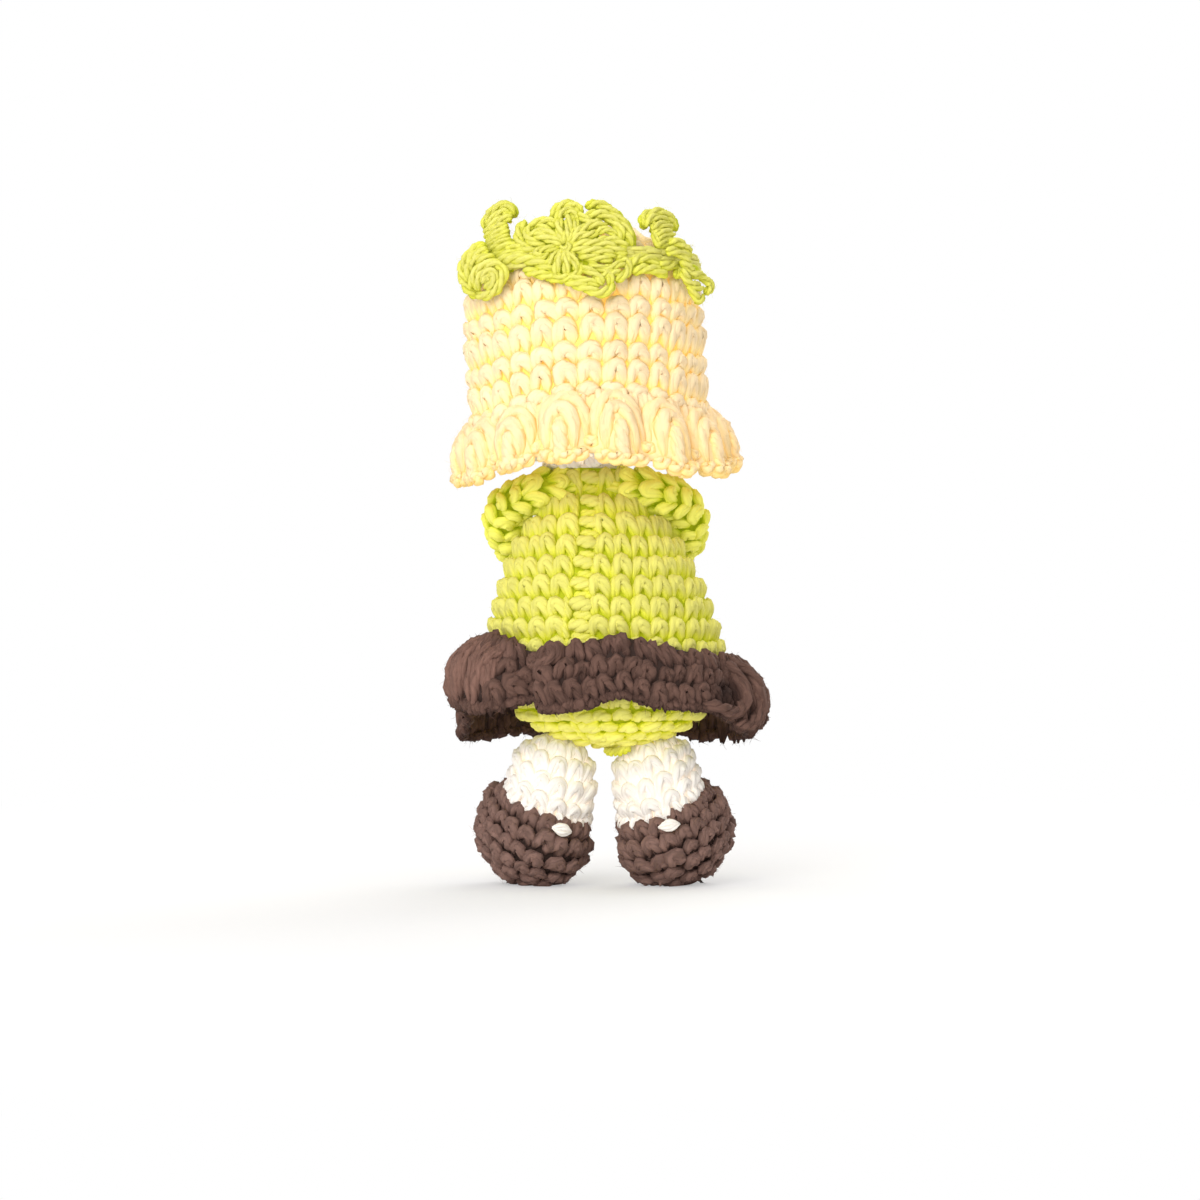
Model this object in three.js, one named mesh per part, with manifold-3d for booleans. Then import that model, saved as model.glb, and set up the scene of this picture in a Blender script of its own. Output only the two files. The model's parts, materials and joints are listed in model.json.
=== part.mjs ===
import * as THREE from 'three';
import { mergeVertices } from 'three/addons/utils/BufferGeometryUtils.js';
import Module from 'manifold-3d';

const wasm = await Module();
wasm.setup();

// A crocheted doll that stands on its own shoes. Sizes in millimetres, angles in degrees.
// +Z is up, the doll faces -Y and its left side is +X.

// Crocheted fabric and the air between pieces
const fabric = 2.2; // thickness of the crocheted fabric
const gap = 0.3; // between two pieces that touch

// Legs and shoes
const hipHeight = 20.3; // hip pivot above the floor
const hipSpacing = 19.2; // between the two hip pivots
const hipBallRadius = 8.2; // round top of a leg
const ankleRadius = 8.7; // leg where it meets the shoe
const ankleDrop = 7; // hip pivot to the widest part of the ankle
const legSplay = 13; // each leg leans outward
const legLength = 15; // hip pivot to the end of the leg, inside the shoe
const legHollow = 10; // hip pivot to the end of the room inside it
const shoeWidth = 20.6;
const shoeLength = 27;
const shoeHeight = 21; // before the sole is flattened
const shoeSpacing = 27.2; // between the two shoe centres
const shoeForward = 2; // shoe centre in front of the hips
const toeOut = 30;
const soleCut = 0.5; // depth of the flat under each shoe
const stitchLength = 4; // the pale stitch on the back of a shoe
const stitchWidth = 2.4;
const stitchThickness = 1;
const stitchHeight = 11.3; // above the floor

// Body
const bodyRadius = 23;
const bowlHeight = 17.5; // bottom of the body to its widest ring
const shoulderHeight = 35.1; // widest ring to where the shoulders would close
const shoulderTaper = 1.5;
const bodyLean = 0.075; // sideways shift of the body for each unit of height
const leanLevel = 24; // height above the bottom where that shift is nothing
const hipSink = 1; // how far a leg is let into the body
const neckOpening = 5.5; // radius
const tailRadius = 1; // the end of the yarn, left long where the body was closed
const tailLength = 6.5;
const tailAside = 2.8; // its free end lies this far to the doll's right

// Ruffle round the waist
const waistHeight = 17.1; // above the bottom of the body
const ruffleThickness = 2;
const ruffleSteps = 4; // from one of the places below to the next
// How it hangs at places round the waist: turn from the middle of the back to the doll's left, rise of
// its top edge above the waist, then for its bend and for its lower edge how far each stands out beyond
// the body's widest round and how high it is above the waist
const rufflePlaces = [
  [-172, -3.4, 6.5, -6, 6, -14.4],
  [-150, -3.2, 4, -7.5, 3.6, -14.6],
  [-135, -3, 6.5, -6, 6.5, -15],
  [-120, -2.6, 6, -6.5, 8, -14.7],
  [-105, -1.5, 8, -4.5, 6, -13.4],
  [-92, -0.8, 10.5, -1, 8.2, -10.6],
  [-80, -0.4, 10.5, 0.2, 8, -11.6],
  [-69, 0, 8.5, -1.5, 7, -12.2],
  [-59, 0.2, 3, -3, 2.5, -9.4],
  [-47, 0.5, 4.5, -2.5, 4.4, -9],
  [-35, 1.2, 3.6, -2.4, 3.6, -8.4],
  [-20, 2.2, 3.6, -1.8, 3.2, -8],
  [-5, 3.7, 4.2, -0.4, 2.6, -6.1],
  [8, 2.8, 3.6, -1, 2.6, -7.8],
  [22, 1.9, 6, -1, 4.6, -8.8],
  [34, 1, 1.6, -3, 1.8, -7.1],
  [47, 2.4, 6.5, 0, 6, -8.2],
  [61, 3.6, 10, 2, 8, -8.6],
  [76, 3.2, 10.5, 0.6, 7.6, -8],
  [90, 1.6, 6.6, -2.5, 4.6, -9.4],
  [102, -0.4, 4.5, -6, 4.4, -12.4],
  [114, -1.8, 6.5, -6.4, 8, -14.4],
  [128, -2.6, 7, -6, 7.4, -15.1],
  [142, -3.1, 3.6, -7.6, 3.2, -14],
  [156, -3.3, 6.5, -6, 6.5, -14.6],
  [171, -3.4, 3.8, -7.8, 3.4, -13.8],
];

// Arms
const armRadius = 4.2;
const armSwell = 0.07; // the sleeve and the hand swell and the cuff is drawn in by this share
const armTop = 46.4; // where the arm meets the body, above its bottom
const armFall = 14.3; // how much lower the hand lies on the body
const armWrap = 63; // how far the arm goes round the body to the front
const armSink = 1; // how far a shoulder is let into the body
const armClear = 0.12; // share of the arm after which it is clear of the body
const cuffAt = 0.7; // share of the arm that the sleeve covers

// Neck and head
const neckBallRadius = 4.6;
const neckRise = 0.15; // neck pivot above the rim of the body
const chinRise = 0.9; // bottom of the head above the neck pivot
const headRadius = 20.45;
const headHeight = 45.2;
const headOpening = 5.3; // radius
const headLean = 3.5; // the head tips to its left

// Face
const eyeRadius = 2.1;
const eyeBelowHat = 6.1; // under the front edge of the crown
const eyeSpread = 21; // each side of the middle
const eyeDome = 1.6; // how far the rounded front of an eye stands out
const eyeRim = 0.2; // straight edge behind the dome
const eyeStand = 0.4; // the bead stands just clear of the fabric
const stemRadius = 0.8;
const washerRadius = 2.8;
const washerThickness = 1;
const mouthBelowEyes = 5.1;
const mouthSpread = 8;
const mouthSmile = 1.2; // its ends are this much higher
const mouthRadius = 0.45;

// Hat
const hatFabric = 2.3;
const hatDome = 16; // height of its rounded top
const crownHeight = 34.1; // top of the hat to the root of the brim
const sideDrop = 7; // rows hang lower at the sides
const frontLift = 6; // and are drawn up over the face
const brimLength = 11;
const brimBack = 0.13; // part longer at the back and shorter over the face
const brimShells = 15;
const shellBulge = 1;
const brimFlare = 15; // from straight down
const brimTurn = 90; // added over the face, where the brim is turned up

// Garland round the hat
const cordRadius = 1.5;
const garlandDrop = 8.8; // below the top of the hat
const flowerRadius = 10.8;
const flowerThickness = 3.2;
const flowerPetals = 5;
const flowerTilt = 25; // leans back over the top of the hat
const flowerTurn = 5; // to the doll's left of the middle of the back
const flowerRise = 1.5; // centre of the flower above the cord
const leafThickness = 3;
const leafWidth = 5.6;
const leafTurn = 42; // from the middle of the back
const leafRise = 9; // of the leaf on the doll's left
const lowLeafRise = 6.5; // of the one on its right
const leafDownTurn = 18; // how far round the hat a lower leaf reaches
const leafFall = 4.5;

const degrees = Math.PI / 180;
const up = new THREE.Vector3(0, 0, 1);

// Materials
function finish(color, roughness, metalness = 0) {
  return new THREE.MeshStandardMaterial({ color, roughness, metalness });
}
const limeCotton = finish(0xd2cd4a, 0.85);
const yellowCotton = finish(0xfae9a6, 0.85);
const brownWool = finish(0x5a4138, 0.95);
const creamCotton = finish(0xf7efe2, 0.85);
const fibrefill = finish(0xffffff, 1);
const blackBead = finish(0x101010, 0.15);
const clearWasher = finish(0xe8e8e4, 0.5);
const roseThread = finish(0xa8584e, 0.8);

// Solids from closed geometries, and back
function signedVolume(vertices, triangles) {
  let sum = 0;
  const corner = [new THREE.Vector3(), new THREE.Vector3(), new THREE.Vector3()];
  for (let i = 0; i < triangles.length; i += 3) {
    corner.forEach((point, k) => point.fromArray(vertices, triangles[i + k] * 3));
    sum += corner[0].dot(corner[1].clone().cross(corner[2])) / 6;
  }
  return sum;
}

function solid(geometry) {
  const bare = new THREE.BufferGeometry();
  bare.setAttribute('position', geometry.getAttribute('position').clone());
  if (geometry.index) bare.setIndex(geometry.index.clone());
  const merged = mergeVertices(bare, 1e-4);
  const vertices = Float32Array.from(merged.getAttribute('position').array);
  const triangles = [];
  const index = merged.index.array;
  for (let i = 0; i < index.length; i += 3) {
    const [a, b, c] = [index[i], index[i + 1], index[i + 2]];
    if (a !== b && b !== c && c !== a) triangles.push(a, b, c);
  }
  if (signedVolume(vertices, triangles) < 0) triangles.reverse();
  const triVerts = Uint32Array.from(triangles);
  return new wasm.Manifold(new wasm.Mesh({ numProp: 3, vertProperties: vertices, triVerts }));
}

function piece(name, body, material) {
  const mesh = body.getMesh();
  const geometry = new THREE.BufferGeometry();
  geometry.setAttribute('position', new THREE.BufferAttribute(Float32Array.from(mesh.vertProperties), 3));
  geometry.setIndex(new THREE.BufferAttribute(Uint32Array.from(mesh.triVerts), 1));
  geometry.computeVertexNormals();
  const result = new THREE.Mesh(geometry, material);
  result.name = name;
  return result;
}

// Basic shapes, all upright
function lathe(points, segments) {
  const profile = points.map(([radius, height]) => new THREE.Vector2(radius, height));
  return new THREE.LatheGeometry(profile, segments).rotateX(Math.PI / 2);
}

function ball(centre, radius, segments = 16) {
  return solid(new THREE.SphereGeometry(radius, segments, Math.round(segments * 0.6))
    .rotateX(Math.PI / 2).translate(...centre));
}

function tube(points, width, thickness, steps, sides = 10) {
  const section = new THREE.Shape();
  section.absellipse(0, 0, width / 2, thickness / 2, 0, 2 * Math.PI);
  const path = new THREE.CatmullRomCurve3(points.map((point) => new THREE.Vector3(...point)));
  return solid(new THREE.ExtrudeGeometry(section, { steps, curveSegments: sides / 2, extrudePath: path }));
}

// A round or oval limb along a curve: half(share) gives its half sizes across the curve and out of the doll
function sweep(points, steps, sides, half) {
  const path = new THREE.CatmullRomCurve3(points.map((point) => new THREE.Vector3(...point)));
  const positions = [];
  const triangles = [];
  for (let j = 0; j <= steps; j += 1) {
    const share = (1 - Math.cos((j / steps) * Math.PI)) / 2;
    const centre = path.getPoint(share);
    const along = path.getTangent(share);
    const out = new THREE.Vector3(centre.x, centre.y, 0).normalize();
    const across = new THREE.Vector3().crossVectors(along, out).normalize();
    const flat = new THREE.Vector3().crossVectors(across, along);
    const [wide, deep] = half(share);
    for (let i = 0; i < sides; i += 1) {
      const turn = (i / sides) * 2 * Math.PI;
      const point = centre.clone()
        .addScaledVector(across, Math.cos(turn) * wide)
        .addScaledVector(flat, Math.sin(turn) * deep);
      positions.push(...point.toArray());
      const a = j * sides + i;
      const b = j * sides + ((i + 1) % sides);
      if (j < steps) triangles.push(a, b, b + sides, a, b + sides, a + sides);
    }
  }
  for (let i = 1; i < sides - 1; i += 1) {
    triangles.push(0, i + 1, i);
    triangles.push(steps * sides, steps * sides + i, steps * sides + i + 1);
  }
  const geometry = new THREE.BufferGeometry();
  geometry.setAttribute('position', new THREE.Float32BufferAttribute(positions, 3));
  geometry.setIndex(triangles);
  return geometry;
}

// A closed band: place(turn, along, side) is a point of the sheet, side 1 outside and -1 inside
function band(turns, rows, place) {
  const positions = [];
  const triangles = [];
  const ring = 2 * (rows + 1);
  for (let i = 0; i < turns; i += 1) {
    for (let j = 0; j < ring; j += 1) {
      const outside = j <= rows;
      const along = (outside ? j : ring - 1 - j) / rows;
      positions.push(...place((i / turns) * 2 * Math.PI, along, outside ? 1 : -1));
      const next = (i + 1) % turns;
      const a = i * ring + j;
      const b = i * ring + ((j + 1) % ring);
      const c = next * ring + ((j + 1) % ring);
      const d = next * ring + j;
      triangles.push(a, b, c, a, c, d);
    }
  }
  const geometry = new THREE.BufferGeometry();
  geometry.setAttribute('position', new THREE.Float32BufferAttribute(positions, 3));
  geometry.setIndex(triangles);
  return geometry;
}

function moved(geometry, change) {
  const positions = geometry.getAttribute('position');
  const point = new THREE.Vector3();
  for (let i = 0; i < positions.count; i += 1) {
    point.fromBufferAttribute(positions, i);
    change(point);
    positions.setXYZ(i, point.x, point.y, point.z);
  }
  return geometry;
}

// A half outline drawn in by a distance, with its ends kept on the axis where they are on it
function drawnIn(outline, distance) {
  return outline.map(([radius, height], i) => {
    const before = outline[Math.max(i - 1, 0)];
    const after = outline[Math.min(i + 1, outline.length - 1)];
    const length = Math.hypot(after[0] - before[0], after[1] - before[1]);
    const normal = [(after[1] - before[1]) / length, -(after[0] - before[0]) / length];
    if (radius < 1e-6) return [0, height - Math.sign(normal[1] || -1) * distance];
    return [Math.max(radius - normal[0] * distance, 0.2), height - normal[1] * distance];
  });
}

// A cup between two outlines, open where they start or end away from the axis
function shell(outline, inside, segments) {
  const profile = [...outline, ...inside.reverse()];
  return lathe(outline[0][0] > 0 ? [...profile, outline[0]] : profile, segments);
}

// The body: a bowl below its widest ring and tapering shoulders above
function bodyRadiusAt(height) {
  if (height < bowlHeight) return bodyRadius * Math.sqrt(1 - ((bowlHeight - height) / bowlHeight) ** 2);
  return bodyRadius * Math.sqrt(1 - ((height - bowlHeight) / shoulderHeight) ** shoulderTaper);
}
const rimShare = (1 - (neckOpening / bodyRadius) ** 2) ** (1 / shoulderTaper);
const bodyRim = bowlHeight + shoulderHeight * rimShare;

function bodyOutline(bowlSteps, shoulderSteps) {
  const points = [];
  for (let i = 0; i < bowlSteps; i += 1) {
    const height = bowlHeight * (1 - Math.cos((i / bowlSteps) * Math.PI / 2));
    points.push([bodyRadiusAt(height), height]);
  }
  for (let i = 0; i <= shoulderSteps; i += 1) {
    const share = Math.sin((i / shoulderSteps) * Math.PI / 2);
    const height = bowlHeight + (bodyRim - bowlHeight) * share;
    points.push([bodyRadiusAt(height), height]);
  }
  return points;
}

const hipReach = hipSpacing / 2;
const hipTuck = bowlHeight * (1 - Math.sqrt(1 - (hipReach / bodyRadius) ** 2));
const bodyBottom = hipHeight + hipBallRadius - hipSink - hipTuck;
const neckPivot = [bodyLean * (bodyRim + neckRise - leanLevel), 0, bodyBottom + bodyRim + neckRise];

function leanBody(point) {
  point.x += bodyLean * (point.z - leanLevel);
  point.z += bodyBottom;
}

function hipCentre(side) {
  return [side * hipReach, 0, hipHeight];
}

// The point at a given distance outside the body, seen from above at a turn from the back
function besideBody(height, turn, distance) {
  const step = 0.5;
  const slope = (bodyRadiusAt(height + step) - bodyRadiusAt(height - step)) / (2 * step);
  const length = Math.hypot(1, slope);
  const reach = bodyRadiusAt(height) + distance / length;
  const point = new THREE.Vector3(reach * Math.sin(turn), reach * Math.cos(turn),
    height - slope * distance / length);
  leanBody(point);
  return point;
}

// Arms hug the body from the shoulder to the hand
function armRadiusAt(share) {
  return armRadius * (1 - armSwell * Math.cos((share * 8 * Math.PI) / 3));
}

function armPoint(side, share) {
  const turn = side * (90 + armWrap * share) * degrees;
  const away = armRadiusAt(share) + gap - (armSink + gap) * Math.max(0, 1 - share / armClear);
  return besideBody(armTop - armFall * share, turn, away).toArray();
}

function armForm(side, inward, sides) {
  const points = [];
  const count = 8;
  for (let i = 0; i <= count; i += 1) points.push(armPoint(side, i / count));
  const limb = sweep(points, 9, sides, (share) => {
    const radius = armRadiusAt(share) - inward;
    return [radius, radius];
  });
  return solid(limb)
    .add(ball(armPoint(side, 0), armRadiusAt(0) - inward, sides))
    .add(ball(armPoint(side, 1), armRadiusAt(1) - inward, sides));
}

function arm(side, word) {
  const whole = armForm(side, 0, 12).subtract(armForm(side, fabric, 6));
  const cuff = new THREE.Vector3(...armPoint(side, cuffAt));
  const along = new THREE.Vector3(...armPoint(side, 1)).sub(cuff).normalize();
  const reach = along.dot(cuff);
  const sleeve = whole.trimByPlane(along.clone().negate().toArray(), gap / 2 - reach);
  const hand = whole.trimByPlane(along.toArray(), reach + gap / 2);
  const filling = armForm(side, fabric + gap, 6);
  return [
    piece(`sleeve_${word}`, sleeve, limeCotton),
    piece(`hand_${word}`, hand, creamCotton),
    piece(`arm_stuffing_${word}`, filling, fibrefill),
  ];
}

// Legs: a ball in the hip, a leg that leans outward and a rounded shoe
function legForm(side, grow, length, segments) {
  const points = [[0, hipBallRadius + grow]];
  const steps = 5;
  for (let i = 1; i <= steps; i += 1) {
    const turn = (i / steps) * Math.PI / 2;
    points.push([(hipBallRadius + grow) * Math.sin(turn), (hipBallRadius + grow) * Math.cos(turn)]);
  }
  points.push([ankleRadius + grow, -ankleDrop], [ankleRadius + grow, -length], [0, -length]);
  return solid(lathe(points, segments).rotateY(-side * legSplay * degrees).translate(...hipCentre(side)));
}

function power(value, exponent) {
  return Math.sign(value) * Math.abs(value) ** exponent;
}

function shoeCentre(side) {
  return [side * shoeSpacing / 2, -shoeForward, shoeHeight / 2 - soleCut];
}

function shoeForm(side, grow, segments) {
  const roundness = 2 / 2.3; // a little squarer than an ellipse, seen from the side
  const sphere = new THREE.SphereGeometry(1, segments, Math.round(segments * 0.6)).rotateX(Math.PI / 2);
  const form = moved(sphere, (point) => {
    const around = Math.hypot(point.x, point.y) || 1;
    const reach = power(Math.min(around, 1), roundness) / around;
    point.x *= reach * (shoeWidth / 2 + grow);
    point.y *= reach * (shoeLength / 2 + grow);
    point.z = power(point.z, roundness) * (shoeHeight / 2 + grow);
  });
  return solid(form.rotateZ(side * toeOut * degrees).translate(...shoeCentre(side)));
}

function belowFloor() {
  const deep = shoeHeight;
  return solid(new THREE.BoxGeometry(8 * bodyRadius, 8 * bodyRadius, deep).translate(0, 0, -deep / 2));
}

function shoeStitch(side) {
  const shape = moved(new THREE.SphereGeometry(1, 10, 6), (point) => {
    point.x *= stitchLength / 2;
    point.y *= stitchThickness / 2;
    point.z *= stitchWidth / 2;
  });
  const [x, y, z] = shoeCentre(side);
  const level = Math.abs(stitchHeight - z) / (shoeHeight / 2);
  const heel = Math.hypot(shoeLength * Math.cos(toeOut * degrees), shoeWidth * Math.sin(toeOut * degrees)) / 2;
  const back = y + heel * Math.sqrt(1 - level ** 2) + gap + stitchThickness / 2;
  const inward = x - side * (shoeSpacing - hipSpacing) / 2;
  return solid(shape.translate(inward, back, stitchHeight));
}

function leg(side, word) {
  const inner = legForm(side, -fabric, legHollow, 12);
  const cover = legForm(side, 0, legLength, 16).subtract(inner).subtract(shoeForm(side, gap, 16));
  const shoe = shoeForm(side, 0, 16).subtract(shoeForm(side, -fabric, 12)).subtract(inner)
    .subtract(belowFloor());
  const filling = legForm(side, -fabric - gap, legHollow, 12)
    .add(shoeForm(side, -fabric - gap, 12));
  return [
    piece(`leg_${word}`, cover, creamCotton),
    piece(`shoe_${word}`, shoe, brownWool),
    piece(`leg_stuffing_${word}`, filling, fibrefill),
    piece(`shoe_stitch_${word}`, shoeStitch(side), creamCotton),
  ];
}

// The body with its sockets for legs and arms
function torso() {
  const lining = bodyOutline(3, 4);
  const inside = drawnIn(lining, fabric + gap);
  let cover = solid(moved(shell(bodyOutline(5, 7), drawnIn(lining, fabric), 28), leanBody));
  let filling = solid(moved(lathe([...inside, [0, inside.at(-1)[1]]], 20), leanBody));
  for (const side of [1, -1]) {
    const hip = ball(hipCentre(side), hipBallRadius + gap, 18);
    const shoulder = ball(armPoint(side, 0), armRadiusAt(0) + gap, 14);
    cover = cover.subtract(hip).subtract(shoulder);
    filling = filling.subtract(hip).subtract(shoulder);
  }
  filling = filling.subtract(ball(neckPivot, neckBallRadius + gap, 12));
  const root = [-tailRadius / 2, tailRadius, bodyBottom - gap - tailRadius];
  const middle = [root[0] - tailAside / 5, root[1] + tailLength / 2, root[2]];
  const free = [root[0] - tailAside, root[1] + tailLength, root[2] + gap];
  const tail = tube([root, middle, free], 2 * tailRadius, 2 * tailRadius, 5, 8);
  return [
    piece('body_cover', cover, limeCotton),
    piece('body_stuffing', filling, fibrefill),
    piece('closing_tail', tail, limeCotton),
    piece('waist_ruffle', solid(ruffle()), brownWool),
  ];
}

// A smooth value between the ruffle's places, each column of them taken by itself
function ruffleAt(turn) {
  const count = rufflePlaces.length;
  const first = rufflePlaces[0][0];
  const at = THREE.MathUtils.euclideanModulo(turn / degrees - first, 360) + first;
  let k = count - 1;
  while (rufflePlaces[k][0] > at) k -= 1;
  const next = k + 1 < count ? rufflePlaces[k + 1][0] : first + 360;
  const share = (at - rufflePlaces[k][0]) / (next - rufflePlaces[k][0]);
  const four = [-1, 0, 1, 2].map((step) => rufflePlaces[(k + step + count) % count]);
  return [1, 2, 3, 4, 5].map((column) => {
    const [p0, p1, p2, p3] = four.map((place) => place[column]);
    const bend = 2 * p0 - 5 * p1 + 4 * p2 - p3;
    const twist = 3 * (p1 - p2) + p3 - p0;
    return p1 + (share * (p2 - p0 + share * (bend + share * twist))) / 2;
  });
}

// The ruffle hangs in folds, and each part of it runs from the top edge over a bend to the lower edge
function ruffle() {
  const middle = bodyLean * (waistHeight - leanLevel);
  return band(rufflePlaces.length * ruffleSteps, 4, (turn, along, side) => {
    const [top, bendOut, bendRise, edgeOut, edgeRise] = ruffleAt(turn);
    const seat = bodyRadiusAt(waistHeight + top) + gap + ruffleThickness / 2;
    const start = new THREE.Vector2(seat, waistHeight + top);
    const bend = new THREE.Vector2(bodyRadius + bendOut, waistHeight + bendRise);
    const edge = new THREE.Vector2(bodyRadius + edgeOut, waistHeight + edgeRise);
    const fall = new THREE.QuadraticBezierCurve(start, bend, edge);
    const ahead = fall.getTangent(along);
    const spot = fall.getPoint(along);
    const reach = spot.x - (side * ahead.y * ruffleThickness) / 2;
    const height = spot.y + (side * ahead.x * ruffleThickness) / 2;
    return [reach * Math.sin(turn) + middle, reach * Math.cos(turn), height + bodyBottom];
  });
}

// Head, measured from the neck pivot
const headMiddle = chinRise + headHeight / 2;

function headOutline(steps) {
  const points = [];
  const first = Math.asin(headOpening / headRadius);
  for (let i = 0; i <= steps; i += 1) {
    const turn = first + (i / steps) * (Math.PI - first);
    const radius = i === steps ? 0 : headRadius * Math.sin(turn);
    points.push([radius, headMiddle - (headHeight / 2) * Math.cos(turn)]);
  }
  return points;
}

// Turns a piece that points up so that it points out of the head, at a height and a turn from the front
function onFace(geometry, height, turn) {
  const level = (height - headMiddle) / (headHeight / 2);
  const radius = headRadius * Math.sqrt(1 - level ** 2);
  const out = new THREE.Vector3(radius / headRadius ** 2, 0, (height - headMiddle) / (headHeight / 2) ** 2);
  const place = new THREE.Vector3(radius, 0, height);
  const angle = (turn - 90) * degrees;
  out.normalize().applyAxisAngle(up, angle);
  place.applyAxisAngle(up, angle);
  const turned = new THREE.Quaternion().setFromUnitVectors(up, out);
  return geometry.applyQuaternion(turned).translate(...place.toArray());
}

function disc(low, high, radius, hole = 0) {
  return lathe([[hole, low], [radius, low], [radius, high], [hole, high], [hole, low]], 12);
}

function eye() {
  const stemEnd = -fabric - washerThickness - 5 * gap;
  const points = [[0, stemEnd], [stemRadius, stemEnd], [stemRadius, eyeStand], [eyeRadius, eyeStand]];
  const steps = 4;
  for (let i = 0; i < steps; i += 1) {
    const turn = (i / steps) * Math.PI / 2;
    points.push([eyeRadius * Math.cos(turn), eyeStand + eyeRim + eyeDome * Math.sin(turn)]);
  }
  points.push([0, eyeStand + eyeRim + eyeDome]);
  return lathe(points, 12);
}

function mouth() {
  const points = [];
  const steps = 4;
  for (let i = -steps; i <= steps; i += 1) {
    const share = i / steps;
    const mark = new THREE.BufferGeometry().setFromPoints([new THREE.Vector3(0, 0, gap + mouthRadius)]);
    onFace(mark, mouthHeight + mouthSmile * share ** 2, mouthSpread * share);
    points.push(new THREE.Vector3().fromBufferAttribute(mark.getAttribute('position'), 0).toArray());
  }
  return tube(points, 2 * mouthRadius, 2 * mouthRadius, 8, 6);
}

function head() {
  const lining = headOutline(6);
  const inside = drawnIn(lining, fabric + gap);
  let cover = solid(shell(headOutline(9), drawnIn(lining, fabric), 26));
  let filling = solid(lathe([[0, inside[0][1]], ...inside], 20))
    .subtract(ball([0, 0, 0], neckBallRadius + gap, 12));
  const pieces = [];
  for (const [side, word] of [[1, 'left'], [-1, 'right']]) {
    const turn = side * eyeSpread;
    const deep = -fabric - 3 * gap;
    const hole = onFace(disc(deep - fabric, fabric, stemRadius + gap), eyeHeight, turn);
    const room = onFace(disc(deep - washerThickness - 3 * gap, fabric, washerRadius + gap), eyeHeight, turn);
    cover = cover.subtract(solid(hole));
    filling = filling.subtract(solid(room));
    const washer = disc(deep - washerThickness, deep, washerRadius, stemRadius + gap / 2);
    pieces.push(piece(`eye_${word}`, solid(onFace(eye(), eyeHeight, turn)), blackBead));
    pieces.push(piece(`eye_washer_${word}`, solid(onFace(washer, eyeHeight, turn)), clearWasher));
  }
  pieces.push(piece('head_cover', cover, creamCotton));
  pieces.push(piece('head_stuffing', filling, fibrefill));
  pieces.push(piece('mouth_stitch', mouth(), roseThread));
  return pieces;
}

// Hat, measured from the neck pivot like the head that carries it
const crownRadius = headRadius + gap + hatFabric;
const crownTop = chinRise + headHeight + gap + hatFabric;
const domeBase = crownTop - hatDome;
const brimRoot = crownTop - crownHeight;
const eyeHeight = brimRoot + frontLift - eyeBelowHat;
const mouthHeight = eyeHeight - mouthBelowEyes;

function rowShift(turn) {
  return -sideDrop * Math.sin(turn) ** 2 + frontLift * (1 - Math.cos(turn)) / 2;
}

function shiftRows(point) {
  const share = Math.min(Math.max((crownTop - point.z) / crownHeight, 0), 1);
  point.z += share * rowShift(Math.atan2(point.x, point.y));
}

function crownRadiusAt(height) {
  if (height < domeBase) return crownRadius;
  return crownRadius * Math.sqrt(Math.max(1 - ((height - domeBase) / hatDome) ** 2, 0));
}

function crownOutline(steps) {
  const outline = [[crownRadius, brimRoot], [crownRadius, (brimRoot + domeBase) / 2]];
  for (let i = 0; i <= steps; i += 1) {
    const turn = (i / steps) * Math.PI / 2;
    outline.push([i === steps ? 0 : crownRadius * Math.cos(turn), domeBase + hatDome * Math.sin(turn)]);
  }
  return outline;
}

function crown() {
  return moved(shell(crownOutline(6), drawnIn(crownOutline(5), hatFabric), 36), shiftRows);
}

// The brim: a ring of shells that hangs at the back and sides and turns up over the face
function brim() {
  return band(brimShells * 4, 2, (turn, along, side) => {
    const shellShare = Math.abs(Math.sin((brimShells * turn) / 2));
    const overFace = ((1 - Math.cos(turn)) / 2) ** 5;
    const angle = (brimFlare + brimTurn * overFace) * Math.sqrt(along) * degrees;
    const length = brimLength * (0.9 + 0.1 * shellShare) * (1 + brimBack * Math.cos(turn)) * along;
    const bulge = shellBulge * shellShare * Math.sin(Math.PI * Math.min(along, 0.8));
    const out = bulge + (side * hatFabric) / 2;
    const reach = crownRadius - hatFabric / 2 + length * Math.sin(angle) + out * Math.cos(angle);
    const height = brimRoot - gap - length * Math.cos(angle) + out * Math.sin(angle);
    return [reach * Math.sin(turn), reach * Math.cos(turn), height + rowShift(turn)];
  });
}

// A point at a distance outside the crown, at a height where it is touched and a turn from the back
function besideCrown(height, turn, distance) {
  const radius = crownRadiusAt(height);
  const rise = Math.max(height - domeBase, 0);
  const normal = new THREE.Vector2(radius / crownRadius ** 2, rise / hatDome ** 2).normalize();
  const reach = radius + normal.x * distance;
  return new THREE.Vector3(reach * Math.sin(turn), reach * Math.cos(turn), height + normal.y * distance);
}
const cordHeight = crownTop - garlandDrop;
const cordSeat = besideCrown(cordHeight, 0, cordRadius + gap);

function garlandCord() {
  const ring = new THREE.TorusGeometry(cordSeat.y, cordRadius, 8, 30).translate(0, 0, cordSeat.z);
  return moved(ring, shiftRows);
}

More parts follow.
